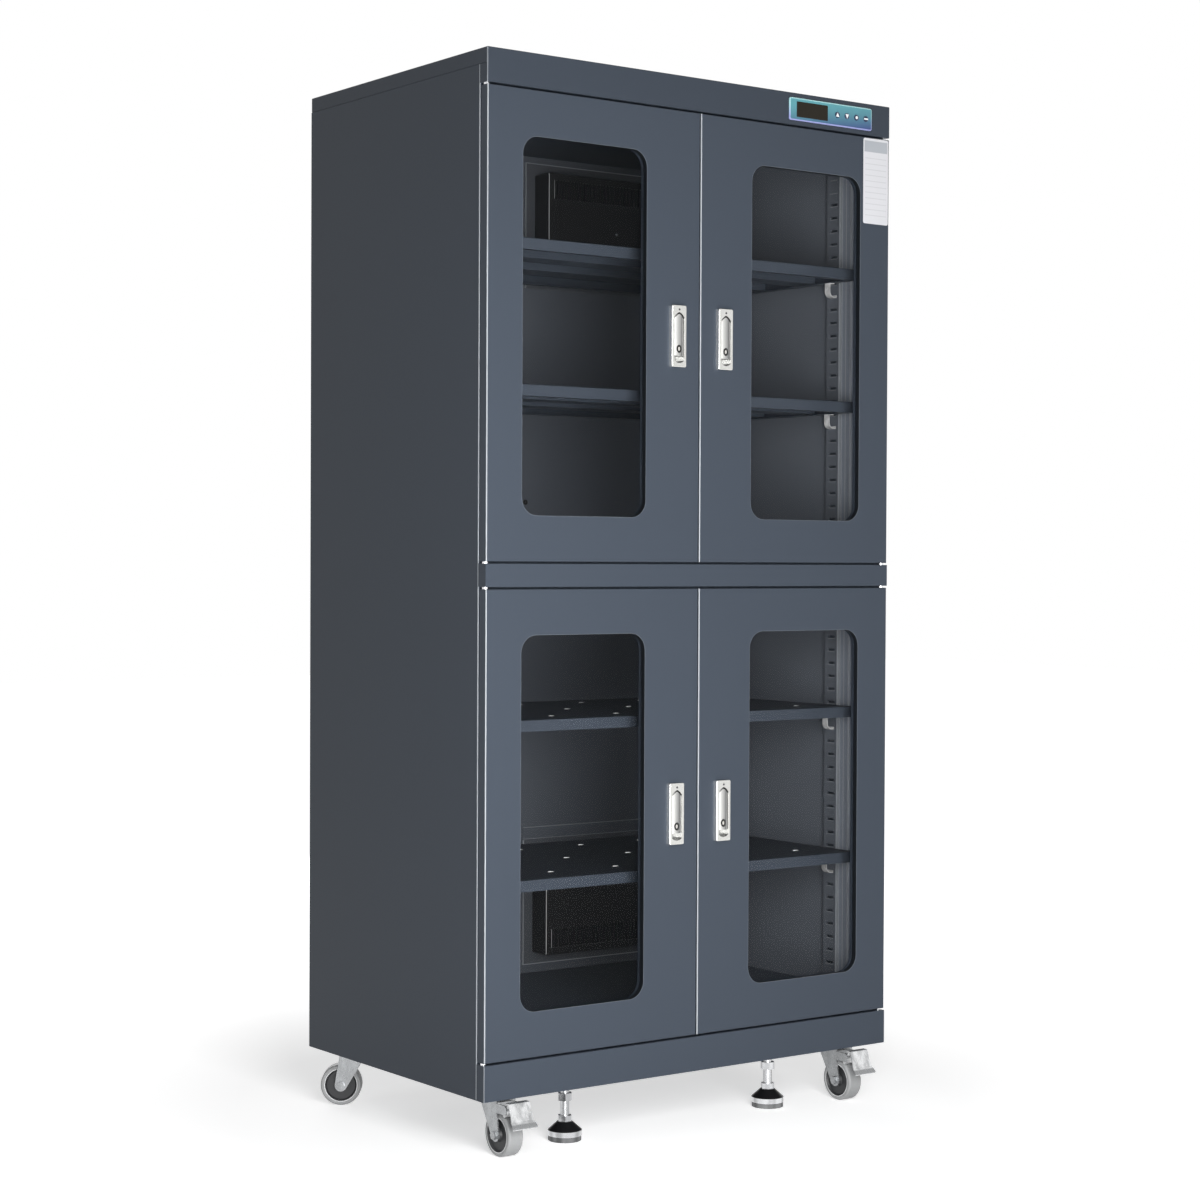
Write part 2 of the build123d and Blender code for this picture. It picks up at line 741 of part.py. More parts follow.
# Door shell: a folded outer pan with a reveal round its window, a liner plate closing its
# back, and a bearing block inside each hinge corner.
def make_door_shell(side, door_z):
    middle_z = door_z + door_height / 2
    handle_x = side * handle_offset
    lock_z = middle_z + handle_height / 2 - lock_drop
    pivots = [(side * pivot_x, pivot_y, z) for z in (door_z, door_z + door_height)]
    with BuildPart() as pan:
        with BuildSketch(upright_plane(0)):
            with Locations((side * door_centre, middle_z)):
                Rectangle(door_width, door_height)
        extrude_back(door_depth)
        fillet(pan.faces().sort_by(Axis.Y)[0].edges(), bend_radius)
        offset(amount=-sheet, openings=pan.faces().sort_by(Axis.Y)[-1])
        with BuildSketch(upright_plane(sheet)):
            with Locations((side * window_centre, middle_z)):
                RectangleRounded(window_width + 2 * sheet, window_height + 2 * sheet, window_corner + sheet)
        extrude_back(reveal_depth - sheet)
        with BuildSketch(upright_plane(0)):
            with Locations((side * window_centre, middle_z)):
                RectangleRounded(window_width, window_height, window_corner)
        extrude_back(reveal_depth, mode=Mode.SUBTRACT)
        with BuildSketch(upright_plane(0)):
            with Locations((handle_x, middle_z)):
                Rectangle(handle_body_width + 2 * handle_cut_gap, handle_body_height + 2 * handle_cut_gap)
        extrude_back(sheet, mode=Mode.SUBTRACT)
        with Locations(pivots):
            Cylinder(bore_radius, 4 * sheet, mode=Mode.SUBTRACT)
    liner_front = door_depth - sheet
    glass_back = reveal_depth + glass_depth
    with BuildPart() as liner:
        with BuildSketch(upright_plane(liner_front)):
            with Locations((side * door_centre, middle_z)):
                Rectangle(door_width - 2 * sheet, door_height - 2 * sheet)
        extrude_back(sheet)
        flange_size = 2 * (liner_step + sheet)
        with BuildSketch(upright_plane(glass_back)):
            with Locations((side * window_centre, middle_z)):
                RectangleRounded(
                    window_width + flange_size, window_height + flange_size, window_corner + flange_size / 2
                )
        extrude_back(liner_front - glass_back)
        with BuildSketch(upright_plane(glass_back)):
            with Locations((side * window_centre, middle_z)):
                RectangleRounded(
                    window_width + 2 * liner_step, window_height + 2 * liner_step, window_corner + liner_step
                )
        extrude_back(door_depth - glass_back, mode=Mode.SUBTRACT)
        with BuildSketch(upright_plane(liner_front)):
            with Locations((handle_x, lock_z)):
                Circle(liner_hole_radius)
        extrude_back(sheet, mode=Mode.SUBTRACT)
    bearing_blocks = []
    for low_z in (door_z + sheet, door_z + door_height - sheet - pivot_block_height):
        with BuildPart() as bearing_block:
            block(
                (side * (door_outer - sheet - pivot_block_width), side * (door_outer - sheet)),
                (front_y + sheet, front_y + liner_front),
                (low_z, low_z + pivot_block_height),
            )
            with Locations((side * pivot_x, pivot_y, low_z + pivot_block_height / 2)):
                Cylinder(bore_radius, pivot_block_height, mode=Mode.SUBTRACT)
        bearing_blocks.append(bearing_block.part)
    return [pan.part, liner.part, *bearing_blocks]


def make_door_window(side, door_z):
    with BuildPart() as door_window:
        with BuildSketch(upright_plane(reveal_depth)):
            with Locations((side * window_centre, door_z + door_height / 2)):
                RectangleRounded(
                    window_width + 2 * glass_lap, window_height + 2 * glass_lap, window_corner + glass_lap
                )
        extrude_back(glass_depth)
    return door_window.part


# Door seal: a flat gasket ring on the liner that closes on the front frame.
def make_door_seal(side, door_z):
    with BuildPart() as door_seal:
        with BuildSketch(upright_plane(door_depth)):
            with Locations((side * door_centre, door_z + door_height / 2)):
                for inset, mode in ((seal_inset, Mode.ADD), (seal_inset + seal_width, Mode.SUBTRACT)):
                    Rectangle(door_width - 2 * inset, door_height - 2 * inset, mode=mode)
        extrude_back(seal_depth)
        chamfer(door_seal.faces().sort_by(Axis.Y)[-1].edges(), seal_depth / 3)
    return door_seal.part


# Outline shared by the handle's recess and its lever: straight sides with a pointed arch
# above, and below either a bowl or a straight end.
def handle_outline(depth, x, top_z, width, top_drop, bottom_drop, bowl):
    left, right = x - width / 2, x + width / 2
    apex_z = top_z - top_drop
    arch_z = apex_z - handle_arch
    bowl_z = top_z - bottom_drop + bowl
    with BuildSketch(upright_plane(depth)) as outline:
        with BuildLine():
            Line((left, bowl_z), (left, arch_z))
            RadiusArc((left, arch_z), (x, apex_z), width)
            RadiusArc((x, apex_z), (right, arch_z), width)
            Line((right, arch_z), (right, bowl_z))
            if bowl > 0:
                ThreePointArc((right, bowl_z), (x, top_z - bottom_drop), (left, bowl_z))
            else:
                Line((right, bowl_z), (left, bowl_z))
        make_face()
    return outline.sketch


def make_handle_housing(side, door_z):
    x = side * handle_offset
    middle_z = door_z + door_height / 2
    top = middle_z + handle_height / 2
    with BuildPart() as housing:
        with BuildSketch(upright_plane(-handle_proud)):
            with Locations((x, middle_z)):
                RectangleRounded(handle_width, handle_height, handle_corner)
        extrude_back(handle_proud)
        fillet(housing.faces().sort_by(Axis.Y)[0].edges(), handle_round)
        with BuildSketch(upright_plane(0)):
            with Locations((x, middle_z)):
                Rectangle(handle_body_width, handle_body_height)
        extrude_back(handle_body_depth)
        recess = handle_outline(-handle_proud, x, top, recess_width, recess_top, recess_bottom, recess_bowl)
        extrude(recess, amount=-(handle_proud + recess_floor), mode=Mode.SUBTRACT)
        with BuildSketch(upright_plane(0)):
            with Locations((x, top - lock_drop)):
                Circle(barrel_radius + running_clearance)
        extrude_back(handle_body_depth, mode=Mode.SUBTRACT)
        with BuildSketch(Plane.YZ.offset(x)):
            with Locations((front_y - lever_pin_depth, top - lever_pin_drop)):
                Circle(lever_pin_radius)
        extrude(amount=recess_width / 2 + lever_pin_grip, both=True)
    return housing.part


def make_handle_lever(side, door_z):
    x = side * handle_offset
    top = door_z + door_height / 2 + handle_height / 2
    with BuildPart() as lever:
        outline = handle_outline(-lever_proud, x, top, lever_width, lever_top, lever_bottom, 0)
        extrude(outline, amount=-(lever_proud - lever_back))
        with Locations((x, front_y - lever_proud + lever_crown, top - handle_height / 2)):
            Cylinder(lever_crown, handle_height, mode=Mode.INTERSECT)
        with BuildSketch(upright_plane(-lever_proud)):
            with Locations((x, top - lock_drop)):
                Ellipse(barrel_slot_width / 2, barrel_slot_height / 2)
        extrude_back(lever_proud, mode=Mode.SUBTRACT)
        with BuildSketch(Plane.YZ.offset(x)):
            with Locations((front_y - lever_pin_depth, top - lever_pin_drop)):
                Circle(lever_pin_radius + running_clearance)
        extrude(amount=lever_width, both=True, mode=Mode.SUBTRACT)
    return lever.part


# Quarter-turn lock: a key barrel through the handle, and the cam screwed on its squared
# end. Unlocked, the cam hangs down; a quarter turn puts it behind the middle bar.
def make_door_lock(side, door_z):
    x = side * handle_offset
    lock_z = door_z + door_height / 2 + handle_height / 2 - lock_drop
    cam_front = frame_depth + sheet + cam_gap
    cam_back = cam_front + cam_thickness
    with BuildPart() as barrel:
        with BuildSketch(upright_plane(-barrel_face)):
            with Locations((x, lock_z)):
                Circle(barrel_radius)
        extrude_back(barrel_face + cam_front)
        with BuildSketch(upright_plane(cam_front)):
            with Locations((x, lock_z)):
                Rectangle(cam_square, cam_square)
        extrude_back(cam_thickness)
        with BuildSketch(upright_plane(-barrel_face)):
            with Locations((x, lock_z)):
                Rectangle(key_slot_width, key_slot_length)
        extrude_back(key_slot_depth, mode=Mode.SUBTRACT)
    with BuildPart() as cam:
        with BuildSketch(upright_plane(cam_front)):
            with Locations((x, lock_z)):
                Circle(cam_width / 2)
            with Locations((x, lock_z - cam_reach / 2)):
                Rectangle(cam_width, cam_reach)
            with Locations((x, lock_z)):
                Rectangle(cam_square, cam_square, mode=Mode.SUBTRACT)
        extrude_back(cam_thickness)
    with BuildPart() as cam_screw:
        with BuildSketch(upright_plane(cam_back)):
            with Locations((x, lock_z)):
                RegularPolygon(cam_screw_radius, 6)
        extrude_back(cam_screw_head)
    return [barrel.part, cam.part, cam_screw.part]


for name, side, door_z in doors:
    save_group(make_door_shell(side, door_z), f"door_shell_{name}")
    save(make_door_window(side, door_z), f"door_window_{name}")
    save(make_door_seal(side, door_z), f"door_seal_{name}")
    save(make_handle_housing(side, door_z), f"handle_housing_{name}")
    save(make_handle_lever(side, door_z), f"handle_lever_{name}")
    save_group(make_door_lock(side, door_z), f"door_lock_{name}")


# Caster plate: bolted under the base, with the bearing race and king pin it swivels on.
def make_caster_plate(x, y):
    bolt_span = plate_bolt_spacing
    with BuildPart() as caster_plate:
        with BuildSketch(Plane((x, y, plate_bottom))):
            RectangleRounded(plate_size, plate_size, plate_corner)
        extrude(amount=plate_thickness)
        with BuildSketch(Plane((x, y, race_bottom))):
            Circle(race_radius)
        extrude(amount=race_height)
        with BuildSketch(Plane((x, y, crown_bottom - race_gap - king_nut_height))):
            Circle(king_nut_radius)
        extrude(amount=king_nut_height)
        with BuildSketch(Plane((x, y, crown_bottom - race_gap))):
            Circle(king_pin_radius)
        extrude(amount=race_bottom - crown_bottom + race_gap)
        with BuildSketch(Plane((x, y, plate_bottom))):
            with GridLocations(bolt_span, bolt_span, 2, 2):
                RegularPolygon(bolt_head_radius, 6)
        extrude(amount=-bolt_head_height)
    return caster_plate.part


save_group([make_caster_plate(x, y) for _, x, y, _ in casters], "caster_plates")

# One caster at the origin, its wheel trailing towards -Y, turned and moved to each corner.
leg_inner = fork_inner_width / 2
leg_outer = leg_inner + fork_sheet
axle_z = wheel_radius


def make_fork(braked):
    with BuildPart() as fork:
        with BuildSketch(Plane.XY.offset(crown_bottom)):
            Circle(crown_radius)
            with Locations((0, -wheel_trail / 2)):
                Rectangle(2 * leg_outer, crown_radius + wheel_trail / 2)
        extrude(amount=fork_sheet)
        with BuildSketch(Plane.YZ.offset(leg_inner)):
            with BuildLine():
                Polyline(
                    (fork_rear, crown_top),
                    (-fork_front, crown_top),
                    (-fork_front, crown_top - fork_skirt),
                )
            with Locations((-wheel_trail, axle_z)):
                Circle(axle_end_radius)
            make_hull()
            if braked:
                with Locations((-pedal_pivot_reach, pedal_pivot_height)):
                    Circle(pedal_ear_radius)
                with Locations((-(pedal_pivot_reach + fork_front) / 2, pedal_pivot_height)):
                    Rectangle(pedal_pivot_reach - fork_front, 2 * pedal_ear_radius)
            with Locations((-wheel_trail, axle_z)):
                Circle(axle_radius + running_clearance, mode=Mode.SUBTRACT)
        extrude(amount=fork_sheet)
        mirror(about=Plane.YZ)
        with Locations((0, 0, crown_bottom)):
            Hole(king_pin_radius + running_clearance)
        if braked:
            with BuildSketch(Plane.YZ):
                with Locations((-pedal_pivot_reach, pedal_pivot_height)):
                    Circle(pedal_pivot_radius)
            extrude(amount=leg_inner, both=True)
    with BuildPart() as axle:
        with BuildSketch(Plane.YZ):
            with Locations((-wheel_trail, axle_z)):
                Circle(axle_radius)
        extrude(amount=leg_outer, both=True)
        for end in (-1, 1):
            with BuildSketch(Plane.YZ.offset(end * leg_outer)):
                with Locations((-wheel_trail, axle_z)):
                    RegularPolygon(axle_head_radius, 6)
            extrude(amount=end * axle_head_height)
    return [fork.part, axle.part]


# Wheel: a dished hub that turns on the axle, and the tyre pressed round it.
def make_wheel():
    half_hub = fork_inner_width / 2 - lift_clearance
    half_tyre = wheel_width / 2
    axle_line = Axis((0, -wheel_trail, axle_z), (1, 0, 0))
    wheel_plane = Plane((0, -wheel_trail, axle_z), x_dir=(1, 0, 0), z_dir=(0, -1, 0))
    with BuildPart() as hub:
        with BuildSketch(wheel_plane):
            with BuildLine():
                Polyline(
                    (-half_hub, axle_radius + running_clearance),
                    (-half_hub, hub_boss_radius),
                    (-half_tyre + hub_dish, hub_boss_radius + hub_boss_flare),
                    (-half_tyre + hub_dish, hub_radius - hub_rim),
                    (-half_tyre, hub_radius),
                    (half_tyre, hub_radius),
                    (half_tyre - hub_dish, hub_radius - hub_rim),
                    (half_tyre - hub_dish, hub_boss_radius + hub_boss_flare),
                    (half_hub, hub_boss_radius),
                    (half_hub, axle_radius + running_clearance),
                    close=True,
                )
            make_face()
        revolve(axis=axle_line)
    with BuildPart() as tyre:
        with BuildSketch(wheel_plane) as tread:
            with Locations((0, (wheel_radius + hub_radius) / 2)):
                Rectangle(wheel_width, wheel_radius - hub_radius)
            fillet(tread.vertices().group_by(Axis.Y)[-1], tyre_round)
        revolve(axis=axle_line)
    return [hub.part, tyre.part]


# Brake pedal: a folded plate that widens past the fork's ears to a flared lip, on a boss
# between the ears, with the cam lug that presses the tyre when the pedal is trodden down.
def make_brake_pedal():
    pivot = (-pedal_pivot_reach, pedal_pivot_height)
    fold_top = crown_top + pedal_sheet / 2
    ears_end = pedal_pivot_reach + pedal_ear_radius + lift_clearance
    with BuildPart() as pedal:
        with BuildSketch(Plane.YZ):
            with BuildLine():
                FilletPolyline(
                    (pivot[0] - pedal_heel, pivot[1] + pedal_boss_radius - pedal_sheet),
                    (pivot[0] - pedal_top_start, fold_top),
                    (pivot[0] - pedal_top_end, fold_top),
                    (pivot[0] - pedal_knee, (fold_top + pedal_tip_height) / 2 - pedal_sag),
                    (-pedal_reach - pedal_sheet, pedal_tip_height),
                    radius=pedal_sheet,
                )
            trace(line_width=pedal_sheet)
        extrude(amount=pedal_lip_width / 2, both=True)
        with BuildSketch():
            with BuildLine():
                Polyline(
                    (0, 0),
                    (pedal_width / 2, 0),
                    (pedal_width / 2, -ears_end),
                    (pedal_plate_width / 2, -ears_end),
                    (pedal_plate_width / 2, -pedal_reach + pedal_flare),
                    (pedal_lip_width / 2, -pedal_reach),
                    (0, -pedal_reach),
                    close=True,
                )
            make_face()
            mirror(about=Plane.YZ)
        extrude(amount=base_z, mode=Mode.INTERSECT)
        lug_turn = radians(lug_angle)
        lug_centre = (pivot[0] - lug_reach * cos(lug_turn), pivot[1] - lug_reach * sin(lug_turn))
        with BuildSketch(Plane.YZ):
            with Locations(pivot):
                Circle(pedal_boss_radius)
            with Locations(lug_centre):
                Circle(lug_radius)
            make_hull()
            with Locations(pivot):
                Circle(pedal_pivot_radius + running_clearance, mode=Mode.SUBTRACT)
        extrude(amount=pedal_width / 2, both=True)
        with BuildSketch(Plane.YZ):
            with Locations(pivot):
                Circle(pedal_pivot_radius + running_clearance)
        extrude(amount=pedal_width, both=True, mode=Mode.SUBTRACT)
    return pedal.part


fork_plain = make_fork(braked=False)
fork_braked = make_fork(braked=True)
wheel = make_wheel()
brake_pedal = make_brake_pedal()
for name, x, y, turn in casters:
    place = Location((x, y, 0), (0, 0, turn))
    braked = name.startswith("front")
    fork = fork_braked if braked else fork_plain
    save_group([piece.moved(place) for piece in fork], f"caster_fork_{name}")
    save_group([piece.moved(place) for piece in wheel], f"caster_wheel_{name}")
    if braked:
        save(brake_pedal.moved(place), f"brake_pedal_{name}")


# Levelling foot: a rubber pad under a chromed base, its threaded stem with a hexagon, and
# the lock nut on the stem.
def make_foot(x):
    ring_top = foot_pad_height + foot_ring_height
    cone_top = ring_top + foot_cone_height
    with BuildPart() as pad:
        with BuildSketch(Plane((x, foot_y, 0))):
            Circle(foot_radius - foot_pad_inset)
        extrude(amount=foot_pad_height)
    with BuildPart() as stem:
        with BuildSketch(Plane((x, foot_y, foot_pad_height))):
            Circle(foot_radius)
        extrude(amount=foot_ring_height)
        with BuildSketch(Plane((x, foot_y, ring_top))):
            Circle(foot_radius)
        with BuildSketch(Plane((x, foot_y, cone_top))):
            Circle(foot_neck_radius)
        loft()
        with BuildSketch(Plane((x, foot_y, cone_top))):
            RegularPolygon(foot_hex_radius, 6)
        extrude(amount=foot_hex_height)
        with BuildSketch(Plane((x, foot_y, cone_top + foot_hex_height))):
            Circle(foot_stem_radius)
        extrude(amount=foot_stem_top - cone_top - foot_hex_height)
    return [pad.part, stem.part, make_foot_nut(x, lock_nut_bottom, 0)]


save_group(make_foot(-foot_offset), "levelling_foot_left")
save_group(make_foot(foot_offset), "levelling_foot_right")
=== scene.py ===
import json
import math

import bpy
import numpy as np
from mathutils import Matrix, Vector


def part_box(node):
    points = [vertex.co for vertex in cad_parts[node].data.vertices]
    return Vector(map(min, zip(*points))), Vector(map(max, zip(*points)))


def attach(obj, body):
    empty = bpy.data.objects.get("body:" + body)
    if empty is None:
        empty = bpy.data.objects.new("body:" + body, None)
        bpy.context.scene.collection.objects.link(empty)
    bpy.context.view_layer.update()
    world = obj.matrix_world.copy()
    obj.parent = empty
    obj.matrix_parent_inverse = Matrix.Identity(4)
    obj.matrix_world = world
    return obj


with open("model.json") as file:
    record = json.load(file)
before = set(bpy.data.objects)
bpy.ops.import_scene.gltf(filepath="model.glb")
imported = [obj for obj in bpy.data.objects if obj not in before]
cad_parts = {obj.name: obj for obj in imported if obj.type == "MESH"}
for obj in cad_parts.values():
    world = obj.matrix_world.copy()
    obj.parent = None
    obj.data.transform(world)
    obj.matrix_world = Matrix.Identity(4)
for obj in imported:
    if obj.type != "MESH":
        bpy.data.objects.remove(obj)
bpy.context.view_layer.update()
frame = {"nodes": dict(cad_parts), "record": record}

mm = 0.001
crisp, sharp = 0.4 * mm, 0.2 * mm  # usual widths of the soft step at the edge of a marking
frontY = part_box("front_frame")[0][1]
joints = {j["name"]: j for j in frame["record"]["behaviour"]["joints"]}
doorNames = ["upper_left", "upper_right", "lower_left", "lower_right"]
casterNames = ["front_left", "front_right", "rear_left", "rear_right"]


# linear colour from the 0-255 values a paint chart gives
def chart(r, g, b):
    linear = [c / 255 / 12.92 if c <= 10 else ((c / 255 + 0.055) / 1.055) ** 2.4 for c in (r, g, b)]
    return (*linear, 1.0)


# the same colour, so much darker or lighter
def times(colour, share):
    return tuple(c * share for c in colour[:3]) + (1.0,)


# a socket that takes part in Python sums, so a pattern reads as one expression
class Sock:
    def __init__(self, graph, link):
        self.graph, self.link = graph, link

    def math(self, operation, *values):
        return self.graph.add("ShaderNodeMath", {"operation": operation}, dict(enumerate(values)))

    def __add__(self, other):
        return self.math("ADD", self, other)

    def __radd__(self, other):
        return self.math("ADD", other, self)

    def __sub__(self, other):
        return self.math("SUBTRACT", self, other)

    def __rsub__(self, other):
        return self.math("SUBTRACT", other, self)

    def __mul__(self, other):
        return self.math("MULTIPLY", self, other)

    def __rmul__(self, other):
        return self.math("MULTIPLY", other, self)

    def __truediv__(self, other):
        return self.math("DIVIDE", self, other)

    def __neg__(self):
        return self.math("MULTIPLY", self, -1.0)

    def __abs__(self):
        return self.math("ABSOLUTE", self)

    def __pow__(self, other):
        return self.math("POWER", self, other)

    def max(self, other):
        return self.math("MAXIMUM", self, other)

    def min(self, other):
        return self.math("MINIMUM", self, other)

    # signed distance from the nearest whole multiple of pitch
    def wrap(self, pitch):
        return self.math("WRAP", self, pitch / 2, -pitch / 2)

    # rises and falls between 0 and 0.5 as the value passes each whole number
    def pingPong(self):
        return self.math("PINGPONG", self, 0.5)


# the node tree of a new material, or of a new world
class Graph:
    def __init__(self, name, world=False):
        self.owner = bpy.data.worlds.new(name) if world else bpy.data.materials.new(name)
        self.outputKind = "ShaderNodeOutputWorld" if world else "ShaderNodeOutputMaterial"
        self.owner.use_nodes = True
        self.tree = self.owner.node_tree
        self.tree.nodes.clear()
        if not world:
            self.place = self.add("ShaderNodeTexCoord", out="Object")
            parts = self.tree.nodes.new("ShaderNodeSeparateXYZ")
            self.tree.links.new(self.place.link, parts.inputs[0])
            self.x, self.y, self.z = (Sock(self, parts.outputs[i]) for i in range(3))

    # any node: its settings first, then the values or links of its sockets
    def add(self, kind, settings=None, inputs=None, out=0):
        node = self.tree.nodes.new(kind)
        for key, value in (settings or {}).items():
            if key == "stops":
                elements = node.color_ramp.elements
                for index, (spot, shade) in enumerate(value):
                    element = elements[index] if index < 2 else elements.new(spot)
                    element.position, element.color = spot, shade
            else:
                setattr(node, key, value)
        for key, value in (inputs or {}).items():
            if isinstance(value, Sock):
                self.tree.links.new(value.link, node.inputs[key])
            else:
                node.inputs[key].default_value = value
        return Sock(self, node.outputs[out])

    def noise(self, scale, detail=2.0, stretch=None):
        place = self.place
        if stretch:
            place = self.add("ShaderNodeMapping", {}, {"Vector": place, "Scale": stretch})
        return self.add("ShaderNodeTexNoise", {}, {"Vector": place, "Scale": scale, "Detail": detail})

    # 0 below edge and 1 above it, with a soft step of the given width
    def above(self, value, edge, width):
        return self.add("ShaderNodeMapRange", {"clamp": True},
                        {"Value": value, "From Min": edge - width / 2, "From Max": edge + width / 2})

    def below(self, value, edge, width):
        return 1 - self.above(value, edge, width)

    def mix(self, share, first, second):
        return self.add("ShaderNodeMix", {"data_type": "RGBA"}, {0: share, 6: first, 7: second}, out=2)

    def bump(self, height, distance, strength=1.0):
        return self.add("ShaderNodeBump", {}, {"Height": height, "Distance": distance, "Strength": strength})

    # distance outside a rounded rectangle in the plane of the doors, negative inside
    def outsideOf(self, centre, size, corner=0.0):
        dx = abs(self.x - centre[0]) - (size[0] / 2 - corner)
        dz = abs(self.z - centre[1]) - (size[1] / 2 - corner)
        reach = (dx.max(0.0) ** 2.0 + dz.max(0.0) ** 2.0) ** 0.5
        return reach + dx.max(dz).min(0.0) - corner

    def finish(self, **sockets):
        names = {key.replace("_", " ").title().replace("Ior", "IOR"): value for key, value in sockets.items()}
        surface = self.add("ShaderNodeBsdfPrincipled", {}, names)
        return self.output(surface)

    def output(self, surface):
        node = self.tree.nodes.new(self.outputKind)
        self.tree.links.new(surface.link, node.inputs["Surface"])
        return self.owner


def dress(name, material):
    mesh = frame["nodes"][name].data
    mesh.materials.clear()
    mesh.materials.append(material)


def middle(box):
    return tuple((box[0][i] + box[1][i]) / 2 for i in range(3))


# each door: the middle and size of its sheet, and the middle of its window
doors = {}
for doorName in doorNames:
    shell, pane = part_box("door_shell_" + doorName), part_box("door_window_" + doorName)
    doors[doorName] = {
        "centre": middle(shell)[::2],
        "size": (shell[1][0] - shell[0][0], shell[1][2] - shell[0][2]),
        "window": middle(pane)[::2],
    }

# powder coat: a paler colour of painted light for faces inside the cabinet, a light colour for painted
# highlights along folds, and darker shares for the side panels and the top cover as painted shade
powderCoat = {
    "colour": chart(62, 69, 79),
    "paintedLight": chart(98, 103, 111),
    "paintedLightFrom": 22 * mm,
    "edge": chart(196, 201, 206),
    "edgeWidth": 1.4 * mm,
    "edgeDepth": 1.8 * mm,
    "edgeSoft": 0.6 * mm,
    "roughness": 0.42,
    "gloss": 0.14,
    "driftScale": 1.4,
    "driftDark": 0.9,
    "grainScale": 260.0,
    "grainDepth": 0.00004,
    "grainStrength": 0.5,
    "grainGloss": 0.12,
    "sidePaintedShade": 0.9,
    "coverPaintedShade": 0.86,
    "doorFoldHighlight": 0.75,
    "trimFoldHighlights": (0.35, 0.1),
    "halfSheet": 0.6 * mm,
}


# coat colour: drifts slowly between two shades, and the shade factor darkens it as painted shade
def coatColour(g, shade=1.0):
    p = powderCoat
    drift = g.noise(p["driftScale"], 1.0)
    return g.mix(drift, times(p["colour"], shade * p["driftDark"]), times(p["colour"], shade))


# satin finish with a fine orange-peel
def coatFinish(g, colour):
    p = powderCoat
    grain = g.noise(p["grainScale"], 1.0)
    return g.finish(base_color=colour, roughness=p["roughness"] + (grain - 0.5) * p["grainGloss"],
                    specular_ior_level=p["gloss"], normal=g.bump(grain, p["grainDepth"], p["grainStrength"]))


# powder-coated sheet: an optional mask from 0 to 1 paints highlights along folds, another mask paints the
# paler coat of painted light, with its own strength, and the shade factor darkens the whole coat as painted
# shade
def coatedSteel(name, paintedHighlight=None, shade=1.0, paintedLight=None, paintedLightShare=1.0):
    g = Graph(name)
    colour = coatColour(g, shade)
    if paintedLight is not None:
        colour = g.mix(paintedLight(g), colour, times(powderCoat["paintedLight"], paintedLightShare))
    if paintedHighlight is not None:
        colour = g.mix(paintedHighlight(g), colour, powderCoat["edge"])
    return coatFinish(g, colour)


# painted highlights on the upright folds at a front sheet's two ends; the left one faces the window light
def frontFoldHighlights(node, left, right):
    p = powderCoat
    low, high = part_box(node)

    def paintedHighlight(g):
        front = g.below(g.y, frontY + p["edgeDepth"], p["edgeSoft"])
        leftFoldHighlight = g.below(g.x, low[0] + p["edgeWidth"], p["edgeSoft"]) * left
        return (leftFoldHighlight + g.above(g.x, high[0] - p["edgeWidth"], p["edgeSoft"]) * right) * front
    return paintedHighlight


# painted highlight along the side sheet's own front edge, seen beside the doors
sideHighlight = {"behindSeal": 0.3 * mm, "soft": 0.8 * mm}


def sideEdgeHighlight(g):
    half = powderCoat["edgeWidth"] / 2
    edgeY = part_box("door_seal_upper_left")[1][1] + sideHighlight["behindSeal"]
    return g.below(abs(g.y - edgeY - half), half, sideHighlight["soft"])


# painted light: the paler coat on what lies behind the doors
def paintedLightBehindDoors(g):
    return g.above(g.y, frontY + powderCoat["paintedLightFrom"], 1 * mm)


# corner posts: pale behind the frame as painted light, and a painted highlight, a fine light line, along each
# pressed rib's fold
cornerPost = {"from": 45 * mm, "soft": 12 * mm, "paintedLightShare": 2.4, "ribFrom": 70 * mm, "lastRib": 122 * mm,
              "ribPitch": 14 * mm, "ribHalf": 2.4 * mm, "ribSoft": 0.8 * mm, "ribHighlight": 0.55}


def paintedLightBehindFrame(g):
    return g.above(g.y, frontY + cornerPost["from"], cornerPost["soft"])


def postRibHighlights(g):
    c = cornerPost
    rib = g.below(abs((g.y - frontY - c["lastRib"]).wrap(c["ribPitch"])), c["ribHalf"], c["ribSoft"])
    return rib * g.above(g.y, frontY + c["ribFrom"], 1 * mm) * c["ribHighlight"]


# uprights: painted highlights make each slot's lower lip and the channel's front fold brighter, and
# the side sheet behind the slots is left darker as painted shade of the channel
upright = {"width": 36 * mm, "firstSlot": 238 * mm, "slotPitch": 25 * mm, "slotHalfHeight": 2.5 * mm,
           "slotHalfLength": 10 * mm, "lip": 0.9 * mm, "lipHighlight": 0.22, "fold": 1.6 * mm, "foldHighlight": 0.8,
           "paintedShadeHalf": 16 * mm, "soft": 0.5 * mm}


def uprightMiddles():
    low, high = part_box("shelf_uprights")
    return low[1] + upright["width"] / 2, high[1] - upright["width"] / 2


def uprightHighlights(g):
    u = upright
    slotFloor = abs((g.z - u["firstSlot"]).wrap(u["slotPitch"]) + u["slotHalfHeight"] + u["lip"])
    lip = g.below(slotFloor, u["lip"], u["soft"])
    highlights = 0.0
    for centreY in uprightMiddles():
        inSlot = g.below(abs(g.y - centreY), u["slotHalfLength"], u["soft"])
        fold = g.below(abs(g.y - centreY + u["width"] / 2 - u["fold"] / 2), u["fold"] / 2, u["soft"])
        highlights = highlights + lip * inSlot * u["lipHighlight"] + fold * u["foldHighlight"]
    return highlights


# painted light on the inside face of a side sheet, left out behind the uprights as painted shade
def paintedLightInsideWall(g):
    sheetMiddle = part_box("side_panel_right")[1][0] - powderCoat["halfSheet"]
    shaded = 0.0
    for centreY in uprightMiddles():
        shaded = shaded + g.below(abs(g.y - centreY), upright["paintedShadeHalf"], 1 * mm)
    return g.below(abs(g.x), sheetMiddle, 0.4 * mm) * (1 - shaded)


# painted light on the inside face of the back wall
def paintedLightOnWall(g):
    return g.below(g.y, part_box("back_panel")[1][1] - powderCoat["halfSheet"], 0.4 * mm)


